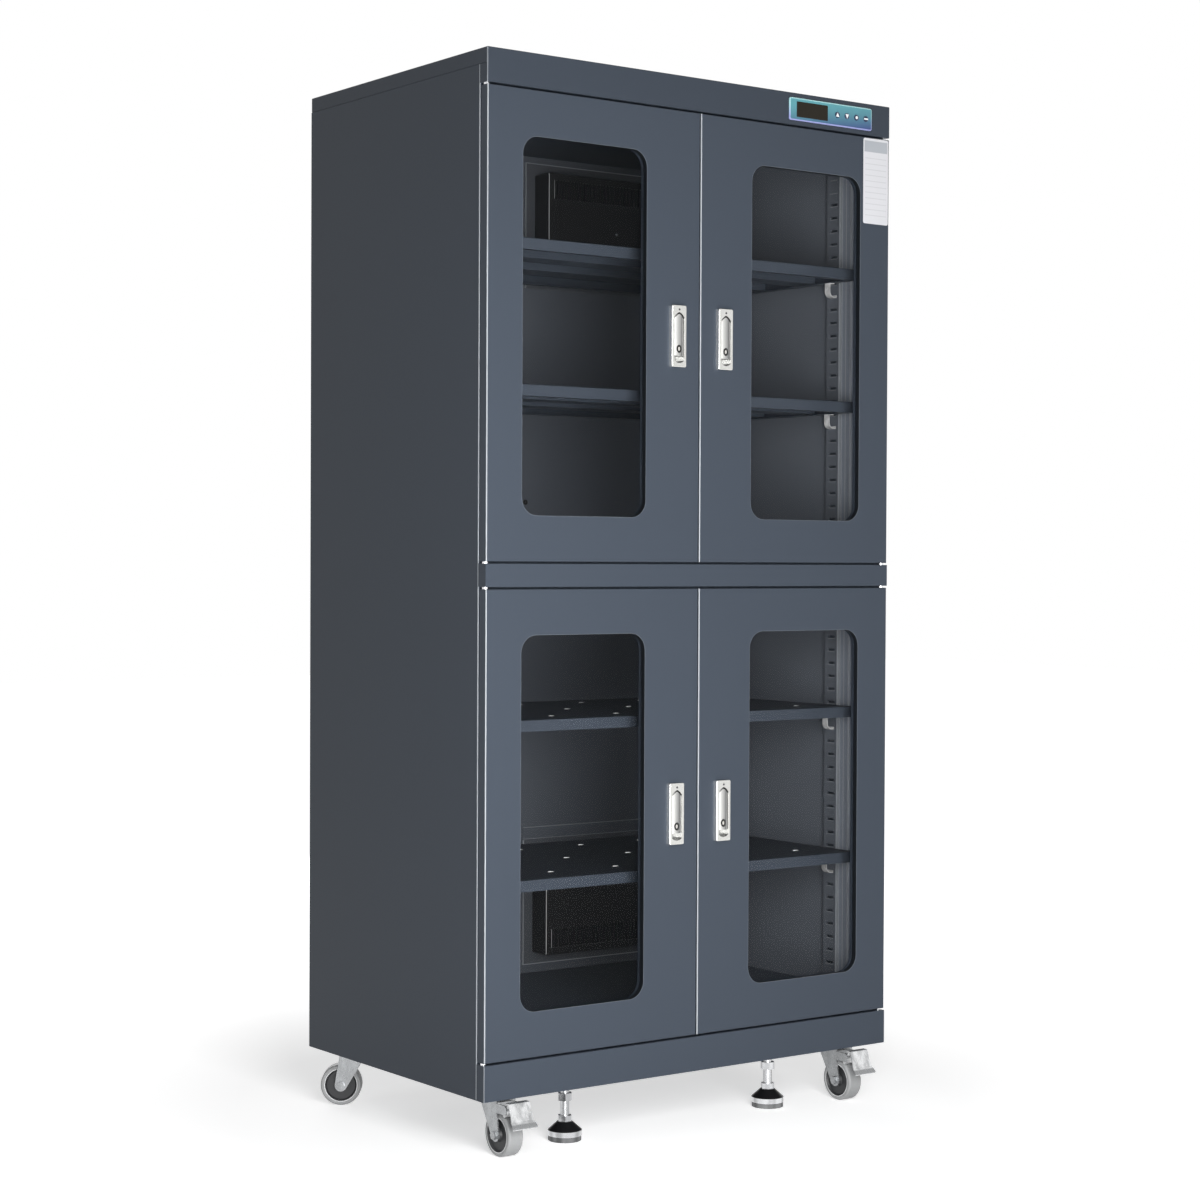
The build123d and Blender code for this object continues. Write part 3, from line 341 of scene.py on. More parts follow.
dress("rear_covers", coatedSteel("powderCoatCovers"))
dress("header_tray", coatedSteel("powderCoatCeiling"))
dress("back_panel", coatedSteel("powderCoatBack", None, 1.0, paintedLightOnWall))
dress("front_frame", coatedSteel("powderCoatFrame", postRibHighlights, 1.0, paintedLightBehindFrame, cornerPost["paintedLightShare"]))
dress("shelf_uprights", coatedSteel("powderCoatUprights", uprightHighlights, 1.0, paintedLightBehindDoors))
# painted shade: the side panels a little darker than the doors
for name in ("side_panel_left", "side_panel_right"):
    dress(name, coatedSteel("powderCoat_" + name, sideEdgeHighlight, powderCoat["sidePaintedShade"], paintedLightInsideWall))
coverFoldHighlights, baseFoldHighlights = (frontFoldHighlights(name, *powderCoat["trimFoldHighlights"]) for name in ("top_cover", "base_pan"))
# painted shade: the top cover darker than the doors
dress("top_cover", coatedSteel("powderCoatCover", coverFoldHighlights, powderCoat["coverPaintedShade"]))
dress("base_pan", coatedSteel("powderCoatBase", baseFoldHighlights))

# window opening: its return painted dark as painted shade, and a painted highlight, a fine light line, along
# its front edge
windowReturn = {"size": (260 * mm, 634 * mm), "corner": 30 * mm, "sheet": 1.6 * mm,
                "shade": chart(26, 29, 33), "line": 0.7 * mm, "lineDepth": 0.9 * mm, "lineHighlight": 0.12}


def doorPaint(doorName):
    w = windowReturn
    node = "door_shell_" + doorName
    g = Graph("powderCoat_" + node)
    outside = g.outsideOf(doors[doorName]["window"], w["size"], w["corner"])
    behind = g.above(g.y, frontY + w["lineDepth"], 0.1 * mm)
    returnShade = g.below(outside, w["sheet"], 0.2 * mm) * behind
    line = g.below(outside, w["line"], 0.3 * mm) * (1 - behind) * w["lineHighlight"]
    colour = g.mix(line, coatColour(g), powderCoat["edge"])
    # painted highlight along the door's left fold
    fold = frontFoldHighlights(node, powderCoat["doorFoldHighlight"], 0)(g)
    return coatFinish(g, g.mix(fold, g.mix(returnShade, colour, w["shade"]), powderCoat["edge"]))


for doorName in doorNames:
    dress("door_shell_" + doorName, doorPaint(doorName))
print("painted the body and the doors")

# shelf holes: dark inside as painted shade, bright and glowing on the far wall as a painted highlight
shelfHoles = {"pitchX": 142 * mm, "pitchY": 152 * mm, "radius": 6 * mm, "soft": 0.4 * mm, "farSide": 1 * mm,
              "deckSkin": 0.7 * mm, "deckPaintedShade": 0.5, "edgePaintedLight": 1.1, "roughness": 0.45, "grainGloss": 0.1,
              "dark": chart(12, 13, 14), "bright": chart(236, 238, 240), "glow": 1.0}


# shelf: the same coat, darker on the deck as painted shade and lighter on the front edges as painted light,
# with rows of round holes painted dark as painted shade, whose far walls get a painted highlight and a glow
def shelfPaint(node):
    p, h = powderCoat, shelfHoles
    low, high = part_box(node)
    centreX, centreY, _ = middle((low, high))
    g = Graph("powderCoat_" + node)
    gx = (g.x - centreX - h["pitchX"] / 2).wrap(h["pitchX"])
    gy = (g.y - centreY).wrap(h["pitchY"])
    deck = g.above(g.z, high[2] - h["deckSkin"], 0.3 * mm)
    inside = g.below((gx * gx + gy * gy) ** 0.5, h["radius"], h["soft"]) * deck
    farWallHighlight = inside * g.above(gy, -h["farSide"], 0.5 * mm)
    coat = g.mix(deck, times(p["colour"], h["edgePaintedLight"]), times(p["colour"], h["deckPaintedShade"]))
    grain = g.noise(p["grainScale"], 1.0)
    return g.finish(base_color=g.mix(farWallHighlight, g.mix(inside, coat, h["dark"]), h["bright"]),
                    roughness=h["roughness"] + (grain - 0.5) * h["grainGloss"], specular_ior_level=p["gloss"],
                    emission_color=g.mix(farWallHighlight, (0, 0, 0, 1), (1, 1, 1, 1)), emission_strength=h["glow"],
                    normal=g.bump(grain, p["grainDepth"], p["grainStrength"]))


for number in range(1, 5):
    dress("shelf_%d" % number, shelfPaint("shelf_%d" % number))


# plated metal: streaks along one axis in the gloss, fine pits, and darker spangled patches
plating = {"brushScale": 220.0, "brushDark": 0.72, "brushShare": 0.35, "patchScale": 75.0, "patchDark": 0.3,
           "patchSoft": 0.22, "pitStrength": 0.4}


def platedMetal(name, colour, roughness, stretch=(1, 1, 1), streak=0.1, pits=0.00002,
                metallic=1.0, spangle=0.0):
    p = plating
    g = Graph(name)
    brush = g.noise(p["brushScale"], 3.0, stretch)
    patch = g.above(g.noise(p["patchScale"], 3.0, stretch), 0.5, p["patchSoft"])
    plain = g.mix(brush * p["brushShare"], colour, times(colour, p["brushDark"]))
    return g.finish(base_color=g.mix(patch * spangle, plain, times(colour, p["patchDark"])),
                    metallic=metallic, roughness=roughness + (brush - 0.5) * streak,
                    normal=g.bump(brush, pits, p["pitStrength"]))


zincPlate = platedMetal("zincPlate", chart(180, 182, 184), 0.28, (1, 1, 0.6), 0.16, 0.00004, 0.85, 0.22)
polished = platedMetal("polishedSteel", chart(230, 231, 234), 0.12)
# shelf clips: near white and barely metallic, painted light so that they show bright in the shaded cabinet
clipZincPaintedLight = platedMetal("clipZincPaintedLight", chart(252, 252, 252), 0.2, metallic=0.15, spangle=0.5)

# handle housing: a painted highlight along its left rim, and painted shade in the recess under the lever,
# in the thumb scoop below it and in a small spot low on the scoop's left
housing = {"face": chart(206, 206, 203), "rimHighlight": chart(240, 240, 238), "rim": 1.4 * mm,
           "recessHalf": 10.9 * mm, "recessDepth": 1 * mm, "recess": chart(84, 85, 86), "recessShare": 0.75,
           "scoopMiddle": 94 * mm, "scoopHalf": 6 * mm, "scoopDepth": 0.5 * mm, "scoopShade": chart(186, 186, 184),
           "scoopShare": 0.6, "markLeft": 4.5 * mm, "markDrop": 98 * mm, "markRadius": 1.7 * mm,
           "markSoft": 0.8 * mm, "scoopCornerShade": chart(52, 52, 52), "metallic": 0.85, "roughness": 0.24}


def housingMetal(doorName):
    h = housing
    low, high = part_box("handle_housing_" + doorName)
    centreX, _, _ = middle((low, high))
    g = Graph("housingMetal_" + doorName)
    across = g.below(abs(g.x - centreX), h["recessHalf"], crisp)
    recess = across * g.above(g.y, low[1] + h["recessDepth"], crisp)
    scoopShade = across * g.below(abs(g.z - high[2] + h["scoopMiddle"]), h["scoopHalf"], 2 * mm)
    scoopShade = scoopShade * g.above(g.y, low[1] + h["scoopDepth"], crisp)
    markX, markZ = g.x - centreX + h["markLeft"], g.z - high[2] + h["markDrop"]
    scoopCornerShade = g.below((markX * markX + markZ * markZ) ** 0.5, h["markRadius"], h["markSoft"]) * across
    grain = g.noise(300.0, 2.0)
    face = g.mix(g.below(g.x, low[0] + h["rim"], 0.5 * mm), h["face"], h["rimHighlight"])
    shaded = g.mix(scoopShade * h["scoopShare"], g.mix(recess * h["recessShare"], face, h["recess"]), h["scoopShade"])
    return g.finish(base_color=g.mix(scoopCornerShade, shaded, h["scoopCornerShade"]), metallic=h["metallic"],
                    roughness=h["roughness"] + (grain - 0.5) * 0.1)


# oval round a lock: 1 on its edge, less inside
def lockOval(g, doorName, halves):
    lockX, _, lockZ = joints[doorName + "_lock_turn"]["pos_m"]
    dx, dz = (g.x - lockX) / halves[0], (g.z - lockZ) / halves[1]
    return (dx * dx + dz * dz) ** 0.5


# lever: satin, with painted shading from light to dark across its round back, a painted highlight along
# its right edge, and the lock's oval painted dark as painted shade
lever = {"left": chart(222, 222, 219), "right": chart(104, 105, 106), "turn": (0.48, 0.8), "edgeFrom": 0.9,
         "edge": chart(236, 236, 234), "oval": (5.0 * mm, 6.9 * mm), "dark": chart(38, 38, 38),
         "brushScale": 260.0, "stretch": (6, 6, 0.3), "metallic": 0.8, "roughness": 0.32, "streak": 0.14}


def leverMetal(doorName):
    v = lever
    low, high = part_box("handle_lever_" + doorName)
    g = Graph("leverMetal_" + doorName)
    across = (g.x - low[0]) / (high[0] - low[0])
    brush = g.noise(v["brushScale"], 3.0, v["stretch"])
    shadedSatin = g.mix(g.above(across, *v["turn"]), v["left"], v["right"])
    shadedSatin = g.mix(g.above(across, v["edgeFrom"], 0.04), shadedSatin, v["edge"])
    oval = g.below(lockOval(g, doorName, v["oval"]), 1.0, 0.12)
    return g.finish(base_color=g.mix(oval, shadedSatin, v["dark"]), metallic=v["metallic"],
                    roughness=v["roughness"] + (brush - 0.5) * v["streak"])


# lock barrel: dark as painted shade of the gap round it, with the bright oval of its keyway plate
barrel = {"dark": chart(44, 44, 43), "bright": chart(222, 221, 216), "keyway": (2.1 * mm, 3.5 * mm),
          "metallic": 0.8, "roughness": 0.3}


def barrelMetal(doorName):
    b = barrel
    g = Graph("barrelMetal_" + doorName)
    oval = g.below(lockOval(g, doorName, b["keyway"]), 1.0, 0.2)
    grain = g.noise(400.0, 2.0)
    return g.finish(base_color=g.mix(oval, b["dark"], b["bright"]), metallic=b["metallic"],
                    roughness=b["roughness"] + (grain - 0.5) * 0.1)


for doorName in doorNames:
    dress("handle_housing_" + doorName, housingMetal(doorName))
    dress("handle_lever_" + doorName, leverMetal(doorName))
    dress("door_lock_" + doorName, barrelMetal(doorName))
dress("hinge_pins", polished)
dress("shelf_clips", clipZincPaintedLight)
for casterName in casterNames:
    dress("caster_fork_" + casterName, zincPlate)

# brake pedal: brushed zinc with a dark streaky face, and a darker lip as painted shade
pedal = {"bright": chart(216, 217, 218), "dark": chart(112, 114, 116), "lipHeight": 9 * mm, "lipShare": 0.75,
         "edge": 1.2 * mm, "stretch": (1, 1, 0.35), "patchShare": 0.55, "metallic": 0.85, "roughness": 0.28,
         "streak": 0.2, "pits": 0.0001}


def pedalMetal(name):
    p = pedal
    low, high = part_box(name)
    g = Graph("pedalMetal_" + name)
    patch = g.above(g.noise(plating["patchScale"], 3.0, p["stretch"]), 0.52, 0.2)
    lip = g.below(g.z, low[2] + p["lipHeight"], 2 * mm) * g.above(g.z, low[2] + p["edge"], 0.8 * mm)
    brush = g.noise(plating["brushScale"], 3.0, p["stretch"])
    # darker on the lip as painted shade and in the plating's streaky patches
    darkened = (lip * p["lipShare"]).max(patch * p["patchShare"])
    return g.finish(base_color=g.mix(darkened, p["bright"], p["dark"]), metallic=p["metallic"],
                    roughness=p["roughness"] + (brush - 0.5) * p["streak"],
                    normal=g.bump(brush, p["pits"], plating["pitStrength"]))


for name in ("brake_pedal_front_left", "brake_pedal_front_right"):
    dress(name, pedalMetal(name))

# caster plate, race and bolts: zinc, with a dark, dull ring at the race's own height
casterPlate = {"zinc": chart(186, 188, 190), "raceDark": chart(26, 26, 27), "raceTop": 3.6 * mm,
               "raceBottom": 8.9 * mm, "raceDull": 0.7, "roughness": 0.32, "streak": 0.12}


def casterPlateMetal():
    c = casterPlate
    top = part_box("caster_plates")[1][2]
    g = Graph("casterPlateMetal")
    brush = g.noise(plating["brushScale"], 3.0)
    race = g.below(g.z, top - c["raceTop"], 0.3 * mm) * g.above(g.z, top - c["raceBottom"], 0.3 * mm)
    return g.finish(base_color=g.mix(race, c["zinc"], c["raceDark"]), metallic=1 - race * c["raceDull"],
                    roughness=c["roughness"] + brush * c["streak"])


dress("caster_plates", casterPlateMetal())
print("plated the metals")

# window pane: thin clear glass, a little smeared
windowPane = {"tint": chart(24, 27, 30), "roughness": 0.03, "smear": 0.03, "alpha": 0.08, "ior": 1.4}


def windowGlass():
    w = windowPane
    g = Graph("windowGlass")
    return g.finish(base_color=w["tint"], roughness=w["roughness"] + g.noise(3.0, 2.0) * w["smear"],
                    alpha=w["alpha"], ior=w["ior"])


# rubber and plain mouldings: a fine grain in the colour, the gloss and the surface
moulding = {"grainScale": 300.0, "grainDepth": 0.00003, "grainStrength": 0.5, "grainDark": 0.7,
            "grainShare": 0.25, "gloss": 0.14}


def plainPlastic(name, colour, roughness):
    m = moulding
    g = Graph(name)
    grain = g.noise(m["grainScale"], 2.0)
    return g.finish(base_color=g.mix(grain * m["grainShare"], colour, times(colour, m["grainDark"])),
                    roughness=roughness + (grain - 0.5) * m["gloss"],
                    normal=g.bump(grain, m["grainDepth"], m["grainStrength"]))


glass = windowGlass()
seal = plainPlastic("sealRubber", chart(34, 34, 35), 0.75)
for doorName in doorNames:
    dress("door_window_" + doorName, glass)
    dress("door_seal_" + doorName, seal)

# drying units: black, with painted highlights on the bars between the vent slots and along the left edge
dryingUnit = {"black": chart(22, 22, 24), "bar": chart(236, 238, 240), "pitch": 7 * mm, "barHalf": 1.3 * mm,
              "ventEdge": 14 * mm, "ventHeight": 36 * mm, "skin": 0.6 * mm, "bevel": 2 * mm,
              "edgeHalf": 0.6 * mm, "edgeDepth": 2.4 * mm, "roughness": 0.5}


def unitMoulding():
    u = dryingUnit
    low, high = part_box("dehumidifier_units")
    centreX, _, _ = middle((low, high))
    g = Graph("unitMoulding")
    fromEnd = (g.z - low[2]).min(high[2] - g.z)
    row = g.above(fromEnd, u["ventEdge"], crisp) * g.below(fromEnd, u["ventEdge"] + u["ventHeight"], crisp)
    row = row * g.above(g.x, low[0] + u["ventEdge"], crisp) * g.below(g.y, low[1] + u["skin"], sharp)
    bar = g.below(abs((g.x - centreX - u["pitch"] / 2).wrap(u["pitch"])), u["barHalf"], crisp) * row
    leftEdge = g.below(abs(g.x - low[0] - u["bevel"]), u["edgeHalf"], crisp)
    leftEdge = leftEdge * g.below(g.y, low[1] + u["edgeDepth"], sharp)
    grain = g.noise(moulding["grainScale"], 2.0)
    return g.finish(base_color=g.mix(bar.max(leftEdge), u["black"], u["bar"]),
                    roughness=u["roughness"] + (grain - 0.5) * moulding["gloss"],
                    normal=g.bump(grain, moulding["grainDepth"], moulding["grainStrength"]))


# frames round the drying units: dark paint with a painted highlight, a fine light line, along the outer folds
unitFrame = {"coat": chart(92, 96, 102), "line": chart(168, 172, 178), "lineWidth": 1.6 * mm,
             "roughness": 0.45, "gloss": 0.1}


def unitFramePaint():
    f = unitFrame
    low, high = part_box("dehumidifier_frames")
    g = Graph("unitFramePaint")
    fromEnd = (g.z - low[2]).min(high[2] - g.z)
    fromSide = (g.x - low[0]).min(high[0] - g.x)
    grain = g.noise(powderCoat["grainScale"], 1.0)
    line = g.below(fromEnd.min(fromSide), f["lineWidth"], 0.5 * mm)
    return g.finish(base_color=g.mix(line, f["coat"], f["line"]),
                    roughness=f["roughness"] + (grain - 0.5) * f["gloss"],
                    normal=g.bump(grain, powderCoat["grainDepth"], powderCoat["grainStrength"]))


dress("dehumidifier_units", unitMoulding())
dress("dehumidifier_frames", unitFramePaint())

# caster wheel: dark hub inside the tyre's seat, a bright ring, and a grey tyre worn at its edge
wheel = {"hub": chart(44, 45, 47), "rubber": chart(158, 159, 160), "darkened": chart(128, 129, 130),
         "rim": chart(226, 227, 228), "tyreDepth": 8.3 * mm, "rimDepth": 6.9 * mm, "wornDepth": 1 * mm,
         "grainScale": 500.0, "grainDepth": 0.0001, "roughness": 0.5, "gloss": 0.16}


def wheelRubber(casterName):
    w = wheel
    joint = joints[casterName + "_wheel_roll"]
    px, py, pz = joint["pos_m"]
    ax, ay, az = joint["axis"]
    low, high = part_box("caster_wheel_" + casterName)
    tyreRadius = (high[2] - low[2]) / 2
    g = Graph("casterWheel_" + casterName)
    dx, dy, dz = g.x - px, g.y - py, g.z - pz
    along = dx * ax + dy * ay + dz * az
    radius = (dx * dx + dy * dy + dz * dz - along * along).max(0.0) ** 0.5
    tread = g.above(radius, tyreRadius - w["tyreDepth"], crisp)
    rim = tread * g.below(radius, tyreRadius - w["rimDepth"], crisp)
    grain = g.noise(w["grainScale"], 3.0)
    edge = g.above(radius, tyreRadius - w["wornDepth"], 1.5 * mm)
    rubber = g.mix(rim, g.mix(edge * grain * 0.5, w["rubber"], w["darkened"]), w["rim"])
    return g.finish(base_color=g.mix(tread, w["hub"], rubber),
                    roughness=w["roughness"] + (grain - 0.5) * w["gloss"],
                    normal=g.bump(grain, w["grainDepth"], 0.5))


for casterName in casterNames:
    dress("caster_wheel_" + casterName, wheelRubber(casterName))

# levelling foot, from the floor up: rubber pad, bright ring, black cone, plated hexagon, and a
# thread with a lock nut on it
foot = {"pad": 9 * mm, "ring": 18 * mm, "cone": 33 * mm, "hexagon": 43 * mm, "nut": (69 * mm, 82 * mm),
        "threadPitch": 2 * mm, "threadDepth": 0.0002, "threadShare": 0.35, "threadShade": chart(90, 90, 92),
        "plated": chart(232, 233, 235), "streak": chart(120, 121, 123), "streakShare": 0.6,
        "rubber": chart(120, 121, 122), "rubberStreak": chart(70, 71, 72), "black": chart(18, 18, 19),
        "metallic": 0.9, "roughness": 0.2, "padRough": 0.35, "coneRough": 0.1}


def footMetal():
    f = foot
    g = Graph("levellingFoot")
    pad = g.below(g.z, f["pad"], sharp)
    cone = g.above(g.z, f["ring"] + 0.1 * mm, sharp) * g.below(g.z, f["cone"], sharp)
    dark = pad.max(cone)
    onNut = g.above(g.z, f["nut"][0], sharp) * g.below(g.z, f["nut"][1], sharp)
    thread = g.above(g.z, f["hexagon"], sharp) * (1 - onNut)
    ridge = (g.z / f["threadPitch"]).pingPong() * 2
    streaks = g.above(g.noise(50.0, 1.0, (1, 1, 0.04)), 0.5, 0.2)
    plated = g.mix(streaks * f["streakShare"], f["plated"], f["streak"])
    # painted shade in the thread's grooves
    plated = g.mix(thread * (1 - ridge) * f["threadShare"], plated, f["threadShade"])
    below = g.mix(cone, g.mix(streaks, f["rubber"], f["rubberStreak"]), f["black"])
    return g.finish(base_color=g.mix(dark, plated, below), metallic=(1 - dark) * f["metallic"],
                    roughness=f["roughness"] + pad * f["padRough"] + cone * f["coneRough"],
                    normal=g.bump(ridge * thread, f["threadDepth"], 0.4))


for name in ("levelling_foot_left", "levelling_foot_right"):
    dress(name, footMetal())

# membrane panel: teal above running to blue below, bluer to the right, inside a pale rim
panelLook = {"rim": 2.2 * mm, "corner": 4 * mm, "skin": 0.2 * mm, "top": chart(84, 150, 160),
             "middle": chart(72, 126, 142), "low": chart(44, 66, 122), "middleAt": 0.55, "slope": 0.45,
             "shift": 0.08, "rimTop": chart(166, 214, 216), "rimLow": chart(146, 152, 204),
             "rimTurn": (0.45, 0.6), "back": chart(40, 42, 46), "roughness": 0.3}


def panelMembrane():
    p = panelLook
    low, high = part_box("control_panel")
    width, height = high[0] - low[0], high[2] - low[2]
    g = Graph("panelMembrane")
    across, up = (g.x - low[0]) / width, (g.z - low[2]) / height
    stops = [(0.0, p["low"]), (p["middleAt"], p["middle"]), (1.0, p["top"])]
    blend = g.add("ShaderNodeValToRGB", {"stops": stops}, {0: up + (1 - across) * p["slope"] - p["shift"]})
    rimBlend = g.mix(g.above(up, *p["rimTurn"]), p["rimLow"], p["rimTop"])
    rim = g.above(g.outsideOf(middle((low, high))[::2], (width, height), p["corner"]), -p["rim"], 0.5 * mm)
    face = g.below(g.y, frontY - p["skin"], 0.1 * mm)
    return g.finish(base_color=g.mix(face, p["back"], g.mix(rim, blend, rimBlend)), roughness=p["roughness"])


dress("control_panel", panelMembrane())

# display window: smoked glass, slightly hazed
displayGlass = {"smoke": chart(30, 26, 19), "hazeScale": 60.0, "haze": 0.1, "roughness": 0.35, "gloss": 0.15}


def screenGlass():
    d = displayGlass
    g = Graph("displayWindow")
    haze = g.noise(d["hazeScale"], 1.0)
    return g.finish(base_color=d["smoke"], roughness=d["roughness"] + haze * d["haze"],
                    specular_ior_level=d["gloss"])


dress("display_window", screenGlass())

# press buttons: dark blue with a generic white sign drawn by plain inequalities in x and z:
# 1 and 2 a triangle pointing up and down, 3 a dot, 4 a bar; the sign's measures are shares of size
pressButton = {"size": 4.6 * mm, "soft": 0.25 * mm, "skin": 0.5 * mm, "triangleFoot": 0.75,
               "triangleHalf": 0.5, "dotRadius": 0.62, "barHalf": (1.1, 0.3), "blue": chart(18, 30, 66),
               "white": chart(240, 244, 246), "roughness": 0.35}


def buttonFace(number):
    b = pressButton
    low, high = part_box("button_%d" % number)
    centreX, _, centreZ = middle((low, high))
    size, soft = b["size"], b["soft"]
    g = Graph("buttonFace_%d" % number)
    dx, dz = g.x - centreX, g.z - centreZ
    if number in (1, 2):
        rise = dz if number == 1 else -dz
        sign = g.above(rise, -size * b["triangleFoot"], soft)
        sign = sign * g.below(rise * 0.5 + abs(dx), size * b["triangleHalf"], soft)
    elif number == 3:
        sign = g.below((dx * dx + dz * dz) ** 0.5, size * b["dotRadius"], soft)
    else:
        sign = g.below(abs(dz), size * b["barHalf"][1], soft) * g.below(abs(dx), size * b["barHalf"][0], soft)
    front = g.below(g.y, low[1] + b["skin"], 0.1 * mm)
    return g.finish(base_color=g.mix(sign * front, b["blue"], b["white"]), roughness=b["roughness"])


for number in range(1, 5):
    dress("button_%d" % number, buttonFace(number))
print("dressed the glass, rubber, plastics and the panel")


# a grid of points becomes a closed mesh: rows run along u, columns round v, and a flat face
# closes each end
def gridMesh(name, points):
    rows, columns = points.shape[:2]
    r, c = np.meshgrid(np.arange(rows - 1), np.arange(columns), indexing="ij")
    n = (c + 1) % columns
    quads = np.stack([r * columns + c, r * columns + n, (r + 1) * columns + n, (r + 1) * columns + c], -1)
    ends = [list(range(columns - 1, -1, -1)), list(range((rows - 1) * columns, rows * columns))]
    mesh = bpy.data.meshes.new(name)
    mesh.from_pydata(points.reshape(-1, 3).tolist(), [], quads.reshape(-1, 4).tolist() + ends)
    mesh.update()
    piece = bpy.data.objects.new(name, mesh)
    bpy.context.scene.collection.objects.link(piece)
    return piece


# rounded card facing -Y: v walks round a rounded rectangle, which is a corner's middle plus
# the corner's radius times (cos, sin), and u steps from its back edge to its face edge and
# then in to the face's middle, each row being (share of the size, distance forward)
def roundedCard(name, centre, size, corner, thick, inset, around=48):
    turn = np.linspace(0, 2 * np.pi, around, endpoint=False)
    ringX = np.sign(np.cos(turn)) * (size[0] / 2 - corner) + corner * np.cos(turn)
    ringZ = np.sign(np.sin(turn)) * (size[1] / 2 - corner) + corner * np.sin(turn)
    shrink = 1 - 2 * inset / min(size)
    rows = [(1.0, 0.0), (1.0, thick - inset), (shrink, thick), (0.5, thick), (0.02, thick)]
    points = np.array([np.stack([centre[0] + ringX * share, np.full_like(turn, centre[1] - forward),
                                 centre[2] + ringZ * share], -1) for share, forward in rows])
    return gridMesh(name, points)


# turned piece: a profile of (distance along the axis, radius) swept round a line; a point is
# base + axis * distance + radius * (cos * side + sin * other)
def turned(name, base, axis, profile, around=28):
    axis = np.array(axis, float) / np.linalg.norm(axis)
    side = np.cross(axis, (0, 0, 1) if abs(axis[2]) < 0.9 else (1, 0, 0))
    side = side / np.linalg.norm(side)
    other = np.cross(axis, side)
    turn = np.linspace(0, 2 * np.pi, around, endpoint=False)
    ring = np.cos(turn)[:, None] * side + np.sin(turn)[:, None] * other
    points = np.array([np.array(base) + axis * along + ring * radius for along, radius in profile])
    piece = gridMesh(name, points)
    piece.data.polygons.foreach_set("use_smooth", [True] * len(piece.data.polygons))
    return piece


# blank notice card: white, with an empty grey band above and faint ruled lines below; band
# and lines are shares of the card's height, and across is a share of half its width
blankCard = {"size": (62 * mm, 158 * mm), "corner": 4 * mm, "thick": 0.3 * mm, "inset": 0.1 * mm,
             "fromRight": 2.5 * mm, "fromTop": 1.5 * mm, "band": (0.84, 0.97), "bandAcross": 0.92,
             "lines": 15, "lineFrom": 0.42, "ruled": (0.06, 0.78), "ruledAcross": 0.85, "ruledShare": 0.25,
             "paper": chart(214, 214, 218), "fibre": chart(202, 203, 206), "fibreShare": 0.3,
             "ink": chart(150, 152, 156), "grey": chart(170, 174, 180), "roughness": 0.5}


def cardPaper(centre):
    c = blankCard
    width, height = c["size"]
    g = Graph("blankCardPaper")
    up = (g.z - (centre[2] - height / 2)) / height
    across = abs(g.x - centre[0]) / (width / 2)
    band = g.above(up, c["band"][0], 0.004) * g.below(up, c["band"][1], 0.004)
    band = band * g.below(across, c["bandAcross"], 0.01)
    stripe = g.above((up * c["lines"]).pingPong(), c["lineFrom"], 0.05)
    ruled = stripe * g.below(across, c["ruledAcross"], 0.01) * g.below(up, c["ruled"][1], 0.01)
    ruled = ruled * g.above(up, c["ruled"][0], 0.01)
    paper = g.mix(g.noise(900.0, 2.0) * c["fibreShare"], c["paper"], c["fibre"])
    colour = g.mix(band, g.mix(ruled * c["ruledShare"], paper, c["ink"]), c["grey"])
    return g.finish(base_color=colour, roughness=c["roughness"])


def noticeCard():
    c, door = blankCard, doors["upper_right"]
    width, height = c["size"]
    centre = (door["centre"][0] + door["size"][0] / 2 - c["fromRight"] - width / 2, frontY,
              door["centre"][1] + door["size"][1] / 2 - c["fromTop"] - height / 2)
    card = roundedCard("blankCard", centre, c["size"], c["corner"], c["thick"], c["inset"])
    card.data.materials.append(cardPaper(centre))
    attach(card, "door_upper_right")


noticeCard()

# housing screws: a small domed head sunk in the handle's top, above the lever, dark as painted shade of its
# recess
screwHead = {"drop": 7.5 * mm, "radius": 1.9 * mm, "sunk": 0.4 * mm,
             "profile": ((0, 1), (0.5 * mm, 1), (0.8 * mm, 0.8), (0.9 * mm, 0.35), (0.5 * mm, 0.3))}
paintedShadeSteel = platedMetal("paintedShadeScrew", chart(70, 70, 72), 0.35)
for doorName in doorNames:
    low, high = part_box("handle_housing_" + doorName)
    base = ((low[0] + high[0]) / 2, low[1] + screwHead["sunk"], high[2] - screwHead["drop"])
    profile = [(along, screwHead["radius"] * share) for along, share in screwHead["profile"]]
    screw = turned("handleScrew_" + doorName, base, (0, -1, 0), profile)
    screw.data.materials.append(paintedShadeSteel)
    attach(screw, "door_" + doorName)

# a screw in the middle of the upper drying unit, and a plug low on the back wall
smallHeads = {"unitScrew": (3.2 * mm, 1.4 * mm), "wallPlug": (5 * mm, 3 * mm), "sunk": 0.3 * mm,
              "screwRight": 15 * mm, "screwDrop": 108 * mm, "plugX": 0.029, "plugZ": 1.1205}


def smallHead(name, x, y, z, material):
    radius, rise = smallHeads[name]
    profile = [(0, radius), (rise * 0.6, radius), (rise, radius * 0.7), (rise, radius * 0.2)]
    head = turned(name, (x, y + smallHeads["sunk"], z), (0, -1, 0), profile)
    head.data.materials.append(material)
    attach(head, "cabinet")


unitLow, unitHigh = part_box("dehumidifier_units")
smallHead("unitScrew", middle((unitLow, unitHigh))[0] + smallHeads["screwRight"], unitLow[1],
          unitHigh[2] - smallHeads["screwDrop"], polished)
smallHead("wallPlug", smallHeads["plugX"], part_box("back_panel")[0][1], smallHeads["plugZ"],
          seal)

# the lower frame's top strip stands up behind the shelf, paler as painted light, its folds a little lighter
# as painted highlights
topStrip = {"height": 24 * mm, "thick": 3 * mm, "corner": 0.8 * mm, "inset": 0.5 * mm, "lift": 0.5 * mm,
            "fold": 1.5 * mm, "foldHighlight": 0.35}
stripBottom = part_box("shelf_4")[1][2] + topStrip["lift"]


